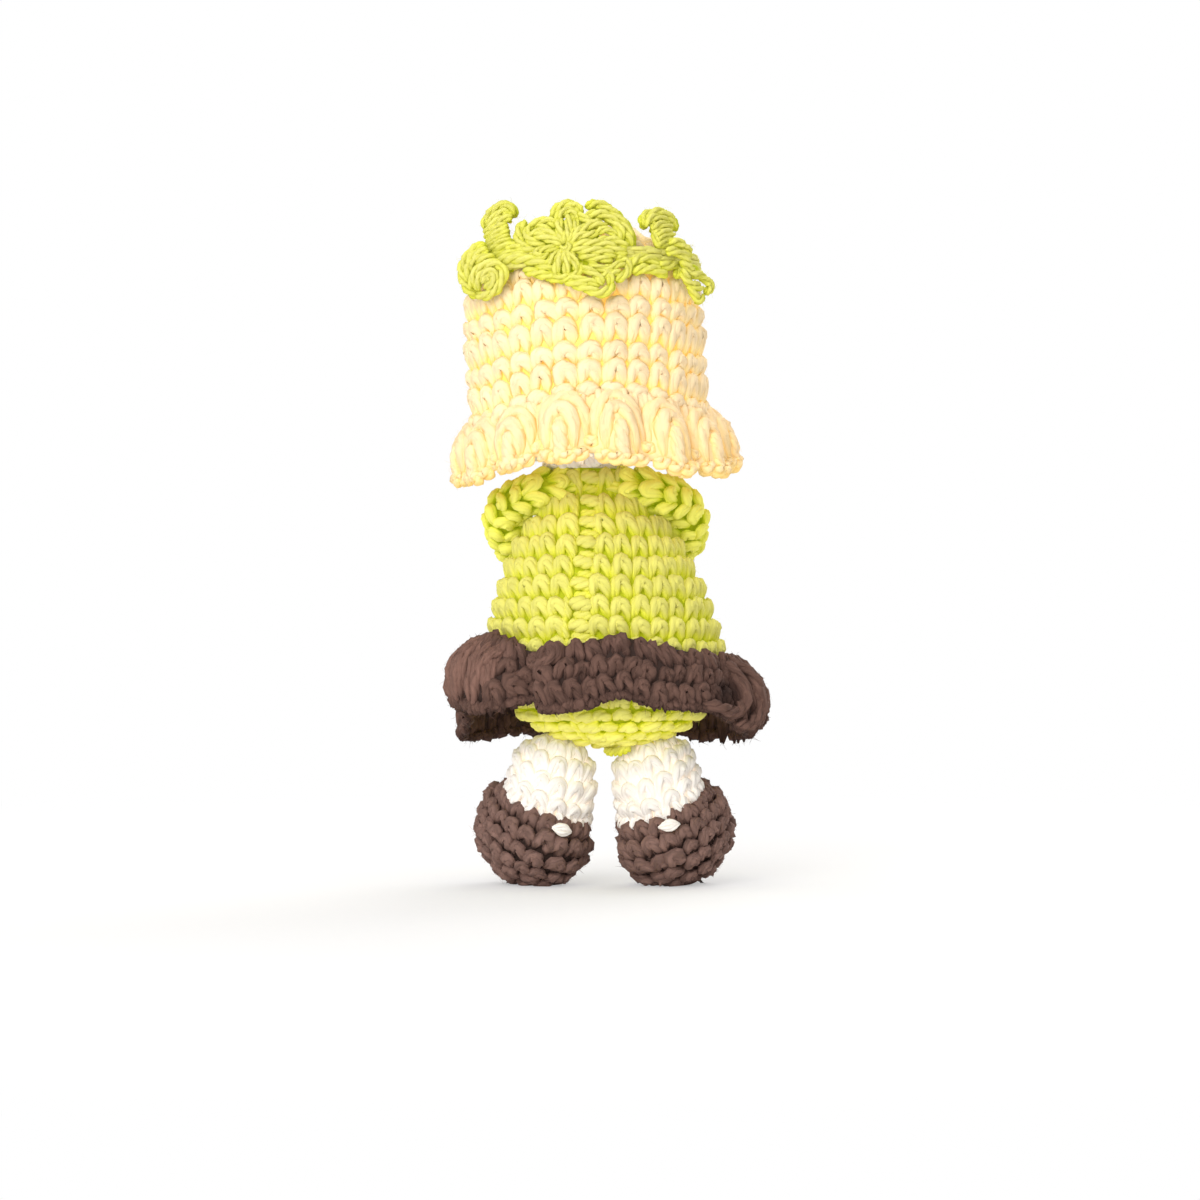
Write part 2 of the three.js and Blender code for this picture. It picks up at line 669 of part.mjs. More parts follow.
// A flower of round petals, made flat and then leaned back against the cord
function flower() {
  const turns = flowerPetals * 8;
  const rows = 3;
  const positions = [0, 0, flowerThickness * 0.3, 0, 0, -flowerThickness / 2];
  const triangles = [];
  for (let j = 1; j < 2 * rows; j += 1) {
    const share = Math.sin((j / (2 * rows)) * Math.PI);
    for (let i = 0; i < turns; i += 1) {
      const turn = (i / turns) * 2 * Math.PI;
      const lobe = 0.7 + 0.3 * Math.abs(Math.sin((flowerPetals * turn) / 2)) ** 0.7;
      const reach = flowerRadius * share * (1 + (lobe - 1) * share);
      const height = Math.cos((j / (2 * rows)) * Math.PI) * flowerThickness / 2;
      positions.push(reach * Math.cos(turn), reach * Math.sin(turn), height);
      const a = 2 + (j - 1) * turns + i;
      const b = 2 + (j - 1) * turns + ((i + 1) % turns);
      if (j === 1) triangles.push(0, a, b);
      if (j < 2 * rows - 1) triangles.push(a, a + turns, b + turns, a, b + turns, b);
      else triangles.push(1, b, a);
    }
  }
  const geometry = new THREE.BufferGeometry();
  geometry.setAttribute('position', new THREE.Float32BufferAttribute(positions, 3));
  geometry.setIndex(triangles);
  const tilt = flowerTilt * degrees;
  const clear = cordRadius + gap + flowerThickness / 2;
  const reach = cordSeat.y + (clear - flowerRise * Math.sin(tilt)) / Math.cos(tilt);
  geometry.rotateX(tilt - Math.PI / 2).translate(0, reach, cordSeat.z + flowerRise);
  return geometry.rotateZ(-flowerTurn * degrees);
}

function leafUp(side) {
  const turn = side * leafTurn * degrees;
  const rise = side > 0 ? leafRise : lowLeafRise;
  const points = [];
  for (const share of [0, 0.5, 1]) {
    const height = cordSeat.z + cordRadius + gap + rise * share;
    const reach = cordSeat.y - share * leafThickness / 4;
    points.push([reach * Math.sin(turn), reach * Math.cos(turn), height]);
  }
  return strip(points);
}

function leafDown(side) {
  const points = [];
  for (const share of [0, 0.33, 0.67, 1]) {
    const turn = side * (leafTurn + leafDownTurn * share) * degrees;
    const reach = cordSeat.y + cordRadius + gap + leafThickness / 2;
    points.push([reach * Math.sin(turn), reach * Math.cos(turn), cordSeat.z - leafFall * share]);
  }
  return strip(points);
}

// A short crocheted strip on the hat, with rounded ends
function strip(points) {
  const shape = sweep(points, 8, 10, (share) => {
    const fullness = 0.1 + 0.9 * Math.sqrt(1 - (2 * share - 1) ** 4);
    return [fullness * leafWidth / 2, fullness * leafThickness / 2];
  });
  return moved(shape, shiftRows);
}

function hat() {
  const pieces = [
    piece('hat_crown', solid(crown()), yellowCotton),
    piece('hat_brim', solid(brim()), yellowCotton),
    piece('garland_cord', solid(garlandCord()), limeCotton),
    piece('garland_flower', solid(flower()), limeCotton),
  ];
  for (const [side, word] of [[1, 'left'], [-1, 'right']]) {
    pieces.push(piece(`leaf_up_${word}`, solid(leafUp(side)), limeCotton));
    pieces.push(piece(`leaf_down_${word}`, solid(leafDown(side)), limeCotton));
  }
  return pieces;
}

// The whole doll
const doll = new THREE.Group();
doll.add(...torso(), ...arm(1, 'left'), ...arm(-1, 'right'), ...leg(1, 'left'), ...leg(-1, 'right'));

const headGroup = new THREE.Group();
headGroup.position.set(...neckPivot);
headGroup.rotation.y = headLean * degrees;
headGroup.add(piece('neck_stuffing', ball([0, 0, 0], neckBallRadius, 12), fibrefill), ...head(), ...hat());
doll.add(headGroup);

// The origin is on the floor, under the middle of the doll
const frame = new THREE.Group();
frame.add(doll);
frame.updateMatrixWorld(true);
const extent = new THREE.Box3().setFromObject(frame, true);
doll.position.set(-(extent.min.x + extent.max.x) / 2, -(extent.min.y + extent.max.y) / 2, -extent.min.z);

export default frame;
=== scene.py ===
# A crocheted doll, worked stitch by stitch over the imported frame
import json
import math

import bpy
import numpy as np
from mathutils import Matrix, Vector


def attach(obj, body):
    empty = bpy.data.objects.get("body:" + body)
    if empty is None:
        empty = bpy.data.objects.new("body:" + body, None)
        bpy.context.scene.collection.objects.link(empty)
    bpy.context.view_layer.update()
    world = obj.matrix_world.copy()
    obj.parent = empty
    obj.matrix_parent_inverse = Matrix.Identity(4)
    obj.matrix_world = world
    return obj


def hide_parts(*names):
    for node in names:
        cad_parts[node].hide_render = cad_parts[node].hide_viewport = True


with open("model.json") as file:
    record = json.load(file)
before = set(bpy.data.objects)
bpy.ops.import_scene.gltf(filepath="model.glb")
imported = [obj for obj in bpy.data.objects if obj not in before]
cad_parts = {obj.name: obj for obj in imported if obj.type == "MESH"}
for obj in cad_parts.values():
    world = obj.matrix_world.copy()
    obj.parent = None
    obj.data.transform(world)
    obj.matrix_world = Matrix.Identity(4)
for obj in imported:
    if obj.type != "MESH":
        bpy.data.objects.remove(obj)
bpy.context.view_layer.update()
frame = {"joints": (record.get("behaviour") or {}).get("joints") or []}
chance = np.random.default_rng(7)
fullTurn = 2 * math.pi

# Everything is in millimetres until a piece is built
joints = {joint["name"]: joint for joint in frame["joints"]}
hips = {side: 1000 * np.array(joints["leg_swing_" + side]["pos_m"]) for side in ("left", "right")}
neckPivot = 1000 * np.array(joints["neck_nod"]["pos_m"])
headTip = math.atan2(joints["hat_lift"]["axis"][0], joints["hat_lift"]["axis"][2])
standsAt = np.array([(hips["left"][0] + hips["right"][0]) / 2, hips["left"][1], 0])
sides = {"left": 1, "right": -1}


# small helpers for numbers and lines
def unit(vectors):
    return vectors / np.maximum(np.linalg.norm(vectors, axis=-1, keepdims=True), 1e-9)


def bow(t):
    # up from 0 to 1 and back again
    return np.sin(math.pi * t)


def turnsRound(count):
    return np.linspace(0, fullTurn, count, endpoint=False)


def polar(turn, reach, height, aside=0.0):
    # turn runs from the back of the doll to its left
    return np.stack(np.broadcast_arrays(reach * np.sin(turn) + aside, reach * np.cos(turn), height), -1)


def spline(p0, p1, p2, p3, t):
    # the smooth way from p1 to p2
    return 0.5 * (2 * p1 + (p2 - p0) * t + (2 * p0 - 5 * p1 + 4 * p2 - p3) * t ** 2
                  + (3 * p1 - p0 - 3 * p2 + p3) * t ** 3)


def lengthsAlong(line):
    return np.concatenate([[0], np.cumsum(np.linalg.norm(np.diff(line, axis=0), axis=1))])


def sampled(at, values, level):
    # columns of values that are known at some lengths, read off at others
    return np.stack([np.interp(level, at, column) for column in values.T], -1)


def squaredTo(ahead, outward):
    return unit(outward - (outward * ahead).sum(-1, keepdims=True) * ahead)


def roundStop(turn, stops):
    # a smooth value all the way round, from (degrees, value, ...) stops
    stops = np.array(sorted(stops), float)
    degrees, values, count = stops[:, 0], stops[:, 1:], len(stops)
    at = np.mod(np.degrees(turn) - degrees[0], 360) + degrees[0]
    before = np.searchsorted(degrees, at, side="right") - 1
    spread = np.append(degrees, degrees[0] + 360)
    share = (at - spread[before]) / (spread[before + 1] - spread[before])
    return spline(*(values[(before + i) % count] for i in (-1, 0, 1, 2)), share[..., None])


def smoothLine(controls, count):
    # a curve through its places, evenly spaced along itself
    places = np.array(controls, float)
    padded = np.concatenate([[2 * places[0] - places[1]], places, [2 * places[-1] - places[-2]]])
    t = np.linspace(0, 1, 12, endpoint=False)[:, None]
    dense = [spline(*padded[i:i + 4], t) for i in range(len(places) - 1)]
    dense = np.concatenate(dense + [places[-1:]])
    at = lengthsAlong(dense)
    return sampled(at, dense, np.linspace(0, at[-1], count)), at[-1]


def outlineOf(points):
    line = np.array(points, float)
    return lengthsAlong(line), line[:, 0], line[:, 1]


def turned(outline, place):
    # a surface of revolution: level is the way up the outline
    along, radius, height = outline

    def surface(turn, level):
        return place(polar(turn, np.interp(level, along, radius), np.interp(level, along, height)))
    return surface


def onSurface(surface, turn, level, face=1):
    # the place, the way out of the surface, and the length of a turn of one radian
    step = 0.02
    east = surface(turn + step, level) - surface(turn - step, level)
    north = surface(turn, level + 10 * step) - surface(turn, level - 10 * step)
    return surface(turn, level), face * unit(np.cross(north, east)), np.linalg.norm(east, axis=-1) / (2 * step)


def facing(surface):
    # 1 if the computed normal already points outward, -1 if it has to be turned round
    point, out = onSurface(surface, turnsRound(8), np.full(8, 4.0))[:2]
    return 1 if ((point - point.mean(0)) * out).sum() > 0 else -1


# yarn: closed strands, each of them a few plies that wind round one another
ply = {"full": 1.04, "uneven": 0.05, "shadeFrom": 0.25, "grooveFrom": 1.05, "grooveGrowth": 1.6, "skein": 40}


def strandMesh(path, outward, wide, deep, rise, tone, plies=3, twist=0.25, sides=6, squeeze=0.47, rough=0.05,
               twoFaced=False):
    count, rings = path.shape[:2]
    along = unit(np.gradient(path, axis=1))
    across = unit(np.cross(along, outward))
    lift = np.cross(across, along)
    phase = fullTurn * (twist * np.linspace(0, 1, rings)[None, :] + chance.uniform(0, 1, (count, 1)))
    angle = fullTurn * np.arange(sides) / sides
    offset, size = (squeeze, ply["full"] - squeeze) if plies > 1 else (0, 1)
    pieces, looks, outs = [], [], []
    for k in range(plies):
        turn = phase + fullTurn * k / plies
        swell = 1 + chance.normal(0, ply["uneven"], (count, 1)) + chance.normal(0, rough, (count, rings))
        lump = size * swell[..., None] * (1 + chance.normal(0, rough, (count, rings, sides)))
        u = offset * np.cos(turn)[..., None] + lump * np.cos(angle)
        v = offset * np.sin(turn)[..., None] + lump * np.sin(angle)
        aside, above = wide[..., None] * u, deep[..., None] * v
        pieces.append(path[:, :, None] + across[:, :, None] * aside[..., None] + lift[:, :, None] * above[..., None])
        # painted shade: each corner's colour height is lower deep in the fabric and on the inner side of a ply, and the
        # grooves between plies are marked, so both take darker colours
        height = rise[..., None] + (np.abs(above) - ply["shadeFrom"] if twoFaced else above)
        groove = np.clip(ply["grooveGrowth"] * (ply["grooveFrom"] - np.hypot(u, v)), 0, 1)
        looks.append(np.stack(np.broadcast_arrays(height, tone[:, None, None], groove), -1))
        outs.append(across[:, :, None] * u[..., None] + lift[:, :, None] * v[..., None])
    length = np.concatenate([np.zeros((count, 1)), np.cumsum(np.linalg.norm(np.diff(path, axis=1), axis=-1), 1)], 1)
    length = (length[:, None] + chance.uniform(0, ply["skein"], (count, plies, 1))).reshape(count * plies, rings)
    index = np.arange(count * plies * rings * sides).reshape(count * plies, rings, sides)
    # where each corner lies along the yarn and round it
    girth = fullTurn * 0.5 * size * (wide.mean() + deep.mean()) / sides
    low, high, near = np.broadcast_arrays(length[:, :-1, None], length[:, 1:, None], np.arange(sides) * girth)
    way = np.stack([low, near, low, near + girth, high, near + girth, high, near], -1).reshape(-1, 2)
    caps = np.concatenate([index[:, 0, ::-1], index[:, -1]])
    return {"points": np.stack(pieces, 1).reshape(-1, 3), "look": np.stack(looks, 1).reshape(-1, 3), "colour": 0,
            "faces": [gridQuads(index, np.roll(index, -1, axis=2)), caps], "way": [way, np.zeros((caps.size, 2))],
            "facing": unit(np.stack(outs, 1)).reshape(-1, 3)}


def gridQuads(index, beside):
    return np.stack([index[:, :-1], beside[:, :-1], beside[:, 1:], index[:, 1:]], -1).reshape(-1, 4)


def looseFibres(parts, shape):
    # short fibres that stand off the yarn
    points, facing = (np.concatenate([part[key] for part in parts if "facing" in part])
                      for key in ("points", "facing"))
    count = shape["count"]
    pick = chance.integers(0, len(points), count)
    start, out = points[pick, None], facing[pick, None]
    ahead = unit(np.cross(out, chance.normal(size=(count, 1, 3))))
    t = np.linspace(0, 1, 3)[None, :, None]
    shortest, longest = shape["length"]
    length = shortest + (longest - shortest) * chance.uniform(0, 1, (count, 1, 1)) ** 2
    bend = np.cross(out, ahead) * chance.normal(0, shape["bend"], (count, 1, 1))
    path = start - shape["root"] * out + length * (ahead * t + bend * t ** 2 + shape["stand"] * out * np.sin(2.4 * t))
    wide = np.broadcast_to(shape["half"] * (1 - 0.7 * t[..., 0]), (count, 3))
    return strandMesh(path, np.broadcast_to(out, path.shape), wide, wide, np.full((count, 3), shape["shade"]),
                      chance.normal(shape["tone"] / 2, shape["tone"], count), plies=1, sides=3)


# plain layers and fillings, all of one shade
# painted shade: coreDepth puts layers at the dark pit end of the yarn's colours
coreDepth = -2.0


def plainPart(points, faces, colour=0, depth=0.0):
    look = np.zeros((points.size // 3, 3))
    look[:, 0] = depth
    return {"points": points.reshape(-1, 3), "look": look, "faces": faces,
            "way": [np.zeros((face.size, 2)) for face in faces], "colour": colour}


def sheetMesh(surface, turns, levels, offset, face=1, colour=1):
    # the layer under the stitches, which closes the holes between them; in its second colour it is painted shade
    turn, level = np.meshgrid(turnsRound(turns), np.linspace(*levels), indexing="ij")
    point, out = onSurface(surface, turn, level, face)[:2]
    index = np.arange(turn.size).reshape(turn.shape)
    caps = [edge[None, ::face] for edge in (index[:, 0], index[::-1, -1])]
    quads = gridQuads(index, np.roll(index, -1, axis=0))[:, ::face]
    return plainPart(point + out * offset, [quads] + caps, colour, coreDepth)


def bandMesh(surface, turns, levels, half, colour=1, depth=coreDepth):
    # a thin closed band that keeps light from passing between the stitches of a hanging edge
    turn, level = np.meshgrid(turnsRound(turns), np.linspace(*levels), indexing="ij")
    point, out = onSurface(surface, turn, level)[:2]
    points = np.concatenate([point + out * half, (point - out * half)[:, ::-1]], axis=1)
    index = np.arange(points.size // 3).reshape(points.shape[:2])
    nextTurn = np.roll(index, -1, axis=0)
    quads = np.stack([index, nextTurn, np.roll(nextTurn, -1, axis=1), np.roll(index, -1, axis=1)], -1).reshape(-1, 4)
    return plainPart(points, [quads], colour, depth)


def lathed(outline, place, count, hollow=False):
    # a turned piece, closed at both ends or hollow like a washer
    radius, height = np.array(outline, float).T[..., None]
    turn = fullTurn * np.arange(count) / count
    points = np.stack([radius * np.cos(turn), radius * np.sin(turn), height + 0 * turn], -1)
    index = np.arange(len(outline) * count).reshape(-1, count)
    beside = np.roll(index, -1, axis=1)
    quads = np.stack([index, beside, np.roll(beside, -1, axis=0), np.roll(index, -1, axis=0)], -1)
    faces = [quads.reshape(-1, 4)] if hollow else [quads[:-1].reshape(-1, 4), index[:1, ::-1], index[-1:]]
    return plainPart(place(points), faces)


def roughened(part, depth):
    points = part["points"]
    wave = np.zeros(len(points))
    for size in (9, 5, 3):
        phase = chance.uniform(0, fullTurn, 3)
        wave += np.sin(fullTurn * points / size + phase).prod(-1)
    part["points"] = points + unit(points - points.mean(0)) * (depth * wave)[:, None]
    return part


def addObject(name, data):
    thing = bpy.data.objects.new(name, data)
    bpy.context.scene.collection.objects.link(thing)
    return thing


def buildPiece(name, parts, materials, bodyName, slotName, replaced):
    points = np.concatenate([part["points"] for part in parts]) / 1000
    look = np.concatenate([part["look"] for part in parts])
    corners, sizes, ways, colours = [], [], [], []
    base = 0
    for part in parts:
        for faces, way in zip(part["faces"], part["way"]):
            corners.append((faces + base).reshape(-1))
            sizes.append(np.full(len(faces), faces.shape[1]))
            ways.append(way)
            colours.append(np.full(len(faces), part["colour"]))
        base += len(part["points"])
    corners, sizes = np.concatenate(corners), np.concatenate(sizes)
    mesh = bpy.data.meshes.new(name)
    mesh.vertices.add(len(points))
    mesh.vertices.foreach_set("co", points.astype(np.float32).reshape(-1))
    mesh.loops.add(len(corners))
    mesh.loops.foreach_set("vertex_index", corners.astype(np.int32))
    mesh.polygons.add(len(sizes))
    mesh.polygons.foreach_set("loop_start", np.concatenate([[0], np.cumsum(sizes)[:-1]]).astype(np.int32))
    mesh.update(calc_edges=True)
    mesh.polygons.foreach_set("material_index", np.concatenate(colours).astype(np.int32))
    mesh.polygons.foreach_set("use_smooth", np.ones(len(sizes), bool))
    yarnWay = mesh.uv_layers.new(name="yarnWay")
    yarnWay.data.foreach_set("uv", np.concatenate(ways).astype(np.float32).reshape(-1))
    shade = mesh.attributes.new("yarnLook", "FLOAT_VECTOR", "POINT")
    shade.data.foreach_set("vector", look.astype(np.float32).reshape(-1))
    mesh.validate()
    piece = addObject(name, mesh)
    for material in materials:
        mesh.materials.append(material)
    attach(piece, bodyName)
    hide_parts(*replaced)
    print(name, len(mesh.polygons), "faces")


# stitches, drawn in the cell of one stitch: across from -0.5 to 0.5, up from 0 to 1, lift in millimetres
def rounded(t, fullness=3, slim=0.16):
    # how thick a strand is along itself: full in the middle and round at its ends
    return slim + (1 - slim) * np.sqrt(np.clip(1 - np.abs(2 * t - 1) ** fullness, 0, 1))


def loopStitch(shape):
    # one soft loop: up from its left foot, over, and down to its right foot, with a hole between its feet
    t = np.linspace(0, 1, 11)
    over = bow(t)
    return [{
        "across": -np.cos(math.pi * t) * (shape["foot"] - shape["narrow"] * over),
        "up": shape["low"] + (shape["high"] - shape["low"]) * over ** shape["shoulder"],
        "lift": np.interp(over, [0, 0.3, 0.6, 0.85, 1], shape["rises"]),
        "wide": (shape["footWide"] + (shape["headWide"] - shape["footWide"]) * over) * rounded(t, 8),
        "deep": shape["deep"] * rounded(t, 8),
    }]


def singleStitch(shape):
    # two strands that lean together at the top
    t = np.linspace(0, 1, 7)
    return [{
        "across": side * (foot + (head - foot) * np.sin(math.pi / 2 * t) ** shape["arch"]),
        "up": shape["low"] + (shape["high"] - shape["low"]) * t,
        "lift": np.interp(t, [0, 0.2, 0.45, 0.75, 0.9, 1], shape["rises"]),
        "wide": (shape["footWide"] + (shape["headWide"] - shape["footWide"]) * t) * rounded(t),
        "deep": shape["deep"] * rounded(t),
    } for side, foot, head in ((-1, shape["footLeft"], shape["headLeft"]),
                               (1, shape["footRight"], shape["headRight"]))]


def straight(start, across, low, up, lift, bulge, wide, deep, count=8, fullness=3):
    # a strand from one place of the cell to another, bulging outward in its middle
    t = np.linspace(0, 1, count)
    return {"across": start + across * t, "up": low + up * t, "lift": lift + bulge * bow(t),
            "wide": wide * rounded(t, fullness), "deep": deep * rounded(t, fullness)}


def workRow(surface, strands, low, high, turns, width, yarn, inset, face=1, skip=()):
    # one row: turns are the middles of its stitches and width the turn that each of them takes up
    keep = np.array([i for i in range(len(turns)) if i not in skip])
    count, loose = len(keep), yarn["loose"]
    tone = chance.normal(0, 1, count)
    nudge = chance.normal(0, loose, (count, 5))
    parts = []
    for strand in strands:
        own = chance.normal(0, loose, (count, 3))
        lean = (1.2 * nudge[:, 4:5] + 0.7 * own[:, 2:3]) * (strand["up"] - 0.5)
        turn = turns[keep][:, None] + width * (strand["across"] + nudge[:, :1] * 0.5 + own[:, :1] * 0.3 + lean)
        level = low + (high - low) * (strand["up"] + nudge[:, 1:2] * 0.4 + own[:, 1:2] * 0.3)
        point, out, reach = onSurface(surface, turn, level, face)
        lift = strand["lift"] + nudge[:, 2:3] * 1.2 + own[:, 2:3] * 0.8 - inset
        pitch = np.minimum(reach * abs(width), yarn["widest"])
        size = 1 + nudge[:, 3:4] * 0.6
        parts.append(strandMesh(point + out * lift[..., None], out, strand["wide"] * pitch * size,
                                strand["deep"] * size * np.ones_like(pitch), lift + inset, tone,
                                **{key: yarn[key] for key in ("twist", "squeeze", "rough", "twoFaced")}))
    return parts


def workRounds(surface, levels, strands, yarn, inset, face=1, seam=None, start=0.0, flipped=False):
    # rows all the way round, from the first level to the last; flipped ones hang from the level that they start at
    parts = []
    for i, (low, high) in enumerate(zip(levels[:-1], levels[1:])):
        if flipped:
            low, high = high, low
        reach = onSurface(surface, np.array([0.0, 1.6, 3.1, 4.7]), np.full(4, (low + high) / 2), face)[2].mean()
        count = max(int(round(fullTurn * reach / yarn["stitchWidth"] / yarn["countBy"])) * yarn["countBy"], 5)
        width = fullTurn / count
        first = seam(i) if seam else start + i * yarn["drift"] + 0.5 * width * (i % 2)
        turns = first + width * np.arange(count)
        if seam:
            turns = turns + chance.normal(0, 0.04, count) * width
        parts += workRow(surface, strands, low, high, turns, width, yarn, inset, face, (0,) if seam else ())
        if seam:
            parts += workRow(surface, yarn["seamStrands"], low, high, np.array([first]), width, yarn, inset, face)
    return parts


chain = {"wide": 0.27, "deep": 0.75, "stand": 0.36, "crown": 0.25, "sunk": 0.3, "from": -0.35, "long": 1.55,
         "narrow": 0.10, "open": 0.17, "twist": 0.3}


def chainRound(line, outward, width, pitch):
    # V-shaped links one inside the other, on the outer side of a closed line and on the side behind it
    at = lengthsAlong(line)
    ahead = unit(np.gradient(line, axis=0))
    out = squaredTo(ahead, outward)
    count = max(int(round(at[-1] / pitch)), 2)
    pitch = at[-1] / count
    t = np.linspace(0, 1, 9)
    parts = []
    for back, shade in ((1, 0.2), (-1, -1.0)):
        for way in (-1, 1):
            first = (np.arange(count) + (0.5 if back < 0 else 0)) * pitch
            level = np.mod(first[:, None] + pitch * (chain["from"] + chain["long"] * t), at[-1])
            aside = way * width * (chain["narrow"] + chain["open"] * np.sin(math.pi / 2 * t))
            lift = back * (chain["stand"] * width + chain["crown"] * bow(t) - chain["sunk"])
            outHere = sampled(at, out, level)
            place = (sampled(at, line, level) + sampled(at, np.cross(ahead, out), level) * aside[:, None]
                     + outHere * lift[:, None])
            size = np.broadcast_to(chain["wide"] * width * rounded(t), level.shape)
            tone = chance.normal(0, 1, count)
            rise = shade + 0.5 * bow(t) + 0 * size
            parts.append(strandMesh(place, back * outHere, size, chain["deep"] * size, rise, tone,
                                    twist=chain["twist"] * way))
    return parts


# materials are built from nodes, which joinUp links row by row
def newNode(tree, kind, values=None, **settings):
    node = tree.nodes.new("ShaderNode" + kind)
    for socket, value in (values or {}).items():
        node.inputs[socket].default_value = value
    for word, value in settings.items():
        setattr(node, word, value)
    return node


def joinUp(tree, *rows):
    for start, output, end, socket in rows:
        tree.links.new(start.outputs[output], end.inputs[socket])


def newMaterial(name, values):
    material = bpy.data.materials.new(name)
    material.use_nodes = True
    tree = material.node_tree
    tree.nodes.clear()
    shader = newNode(tree, "BsdfPrincipled", values)
    output = newNode(tree, "OutputMaterial")
    joinUp(tree, (shader, "BSDF", output, "Surface"))
    return material, tree, shader, output


def fromSrgb(colour):
    return [((c / 255 + 0.055) / 1.055) ** 2.4 if c > 10 else c / 255 / 12.92 for c in colour] + [1]


def rampOf(tree, low, high):
    ramp = newNode(tree, "ValToRGB")
    ramp.color_ramp.elements[0].color, ramp.color_ramp.elements[1].color = low, high
    return ramp


# yarn: painted shade and light: deep parts take the darker pit colour, the tops the lighter one, and fibres run along
# each strand
cottonLook = {
    "roughness": 0.9, "sheen": 0.1, "pitAt": -1.5, "topAt": 0.9, "baseAt": 0.5, "fibreAlong": 0.4, "fibreAcross": 1.6,
    "fibreTone": 0.11, "grooveTone": 0.08, "stitchToneAndPaintedLight": 0.02, "dyeTone": 0.06, "fibreBump": 0.6, "glowDeep": 0.3,
    "glowTop": 0.0,
}
woolLook = {"roughness": 0.95, "sheen": 0.3, "fibreTone": 0.55, "fibreBump": 1.0, "fibreAcross": 1.2,
            "fibreAlong": 0.35}


def yarnMaterial(name, pit, base, light, glow, **changes):
    look = {**cottonLook, **changes}
    material, tree, shader = newMaterial(name, {
        "Roughness": look["roughness"], "Sheen Weight": look["sheen"], "Sheen Roughness": 0.45,
        "Sheen Tint": fromSrgb(light), "Specular IOR Level": 0.25, "Emission Color": fromSrgb(glow)})[:3]
    place = newNode(tree, "Attribute", attribute_name="yarnLook")
    split = newNode(tree, "SeparateXYZ")
    # painted shade and light: the colour runs from the pit colour deep in the fabric to the light colour on the tops
    depth = newNode(tree, "MapRange", {"From Min": look["pitAt"], "From Max": look["topAt"]})
    ramp = rampOf(tree, fromSrgb(pit), fromSrgb(light))
    ramp.color_ramp.elements.new(look["baseAt"]).color = fromSrgb(base)
    # fibres follow the strand, so their noise is long one way and fine the other
    way = newNode(tree, "UVMap", uv_map="yarnWay")
    stretch = newNode(tree, "Mapping", {"Scale": (look["fibreAlong"], look["fibreAcross"], 1)})
    fibres = newNode(tree, "TexNoise", {"Scale": 1, "Detail": 4, "Distortion": 0.6})
    streaks = newNode(tree, "MapRange", {"From Min": 0.34, "From Max": 0.66})
    # slow changes of dye over the whole piece
    spot = newNode(tree, "TexCoord")
    dye = newNode(tree, "TexNoise", {"Scale": 90, "Detail": 3})
    # how bright it is: the fibres, painted shade in the grooves between plies, each stitch's own tone with painted
    # light added to it in some places, and the dye
    fibreTone = newNode(tree, "Math", {1: look["fibreTone"], 2: 1 - look["fibreTone"] / 2}, operation="MULTIPLY_ADD")
    plies = newNode(tree, "Math", {1: -look["grooveTone"]}, operation="MULTIPLY_ADD")
    stitchToneAndPaintedLight = newNode(tree, "Math", {1: look["stitchToneAndPaintedLight"]}, operation="MULTIPLY_ADD")
    dyeTone = newNode(tree, "Math", {1: look["dyeTone"], 2: -look["dyeTone"] / 2}, operation="MULTIPLY_ADD")
    total = newNode(tree, "Math")
    colour = newNode(tree, "HueSaturation")
    # painted glow: the yarn emits light, most in the hollows between stitches, standing in for light scattered inside
    # the yarn
    paintedGlow = newNode(tree, "MapRange", {"To Min": look["glowDeep"], "To Max": look["glowTop"]})
    bump = newNode(tree, "Bump", {"Strength": look["fibreBump"], "Distance": 0.00015})
    joinUp(tree, (place, "Vector", split, "Vector"), (split, "X", depth, "Value"), (depth, "Result", ramp, "Fac"),
           (way, "UV", stretch, "Vector"), (stretch, "Vector", fibres, "Vector"), (fibres, "Fac", streaks, "Value"),
           (streaks, "Result", fibreTone, 0), (split, "Z", plies, 0), (fibreTone, "Value", plies, 2),
           (split, "Y", stitchToneAndPaintedLight, 0), (plies, "Value", stitchToneAndPaintedLight, 2), (spot, "Object", dye, "Vector"),
           (dye, "Fac", dyeTone, 0), (stitchToneAndPaintedLight, "Value", total, 0), (dyeTone, "Value", total, 1),
           (ramp, "Color", colour, "Color"), (total, "Value", colour, "Value"), (colour, "Color", shader, "Base Color"),
           (depth, "Result", paintedGlow, "Value"), (paintedGlow, "Result", shader, "Emission Strength"),
           (streaks, "Result", bump, "Height"), (bump, "Normal", shader, "Normal"))
    return material


# each yarn: the colours of its pits (painted shade), its base and its tops (painted light), and of its painted glow
limeYarn = yarnMaterial("limeCottonYarn", (190, 200, 22), (222, 220, 64), (221, 216, 110), (182, 194, 24),
                        glowDeep=0.34)
# painted shade and light: a copy of the body's lime yarn with darker, greener pits and paler tops, for the sleeves in
# the hat's shadow
sleeveShadedLime = yarnMaterial("limeSleeveShadedCopy", (158, 180, 10), (218, 222, 54), (242, 238, 112), (166, 186, 14),
                          glowDeep=0.26, glowTop=0.08)
yellowYarn = yarnMaterial("yellowCottonYarn", (250, 214, 125), (249, 227, 160), (247, 222, 179), (248, 203, 98),
                          glowDeep=0.45)
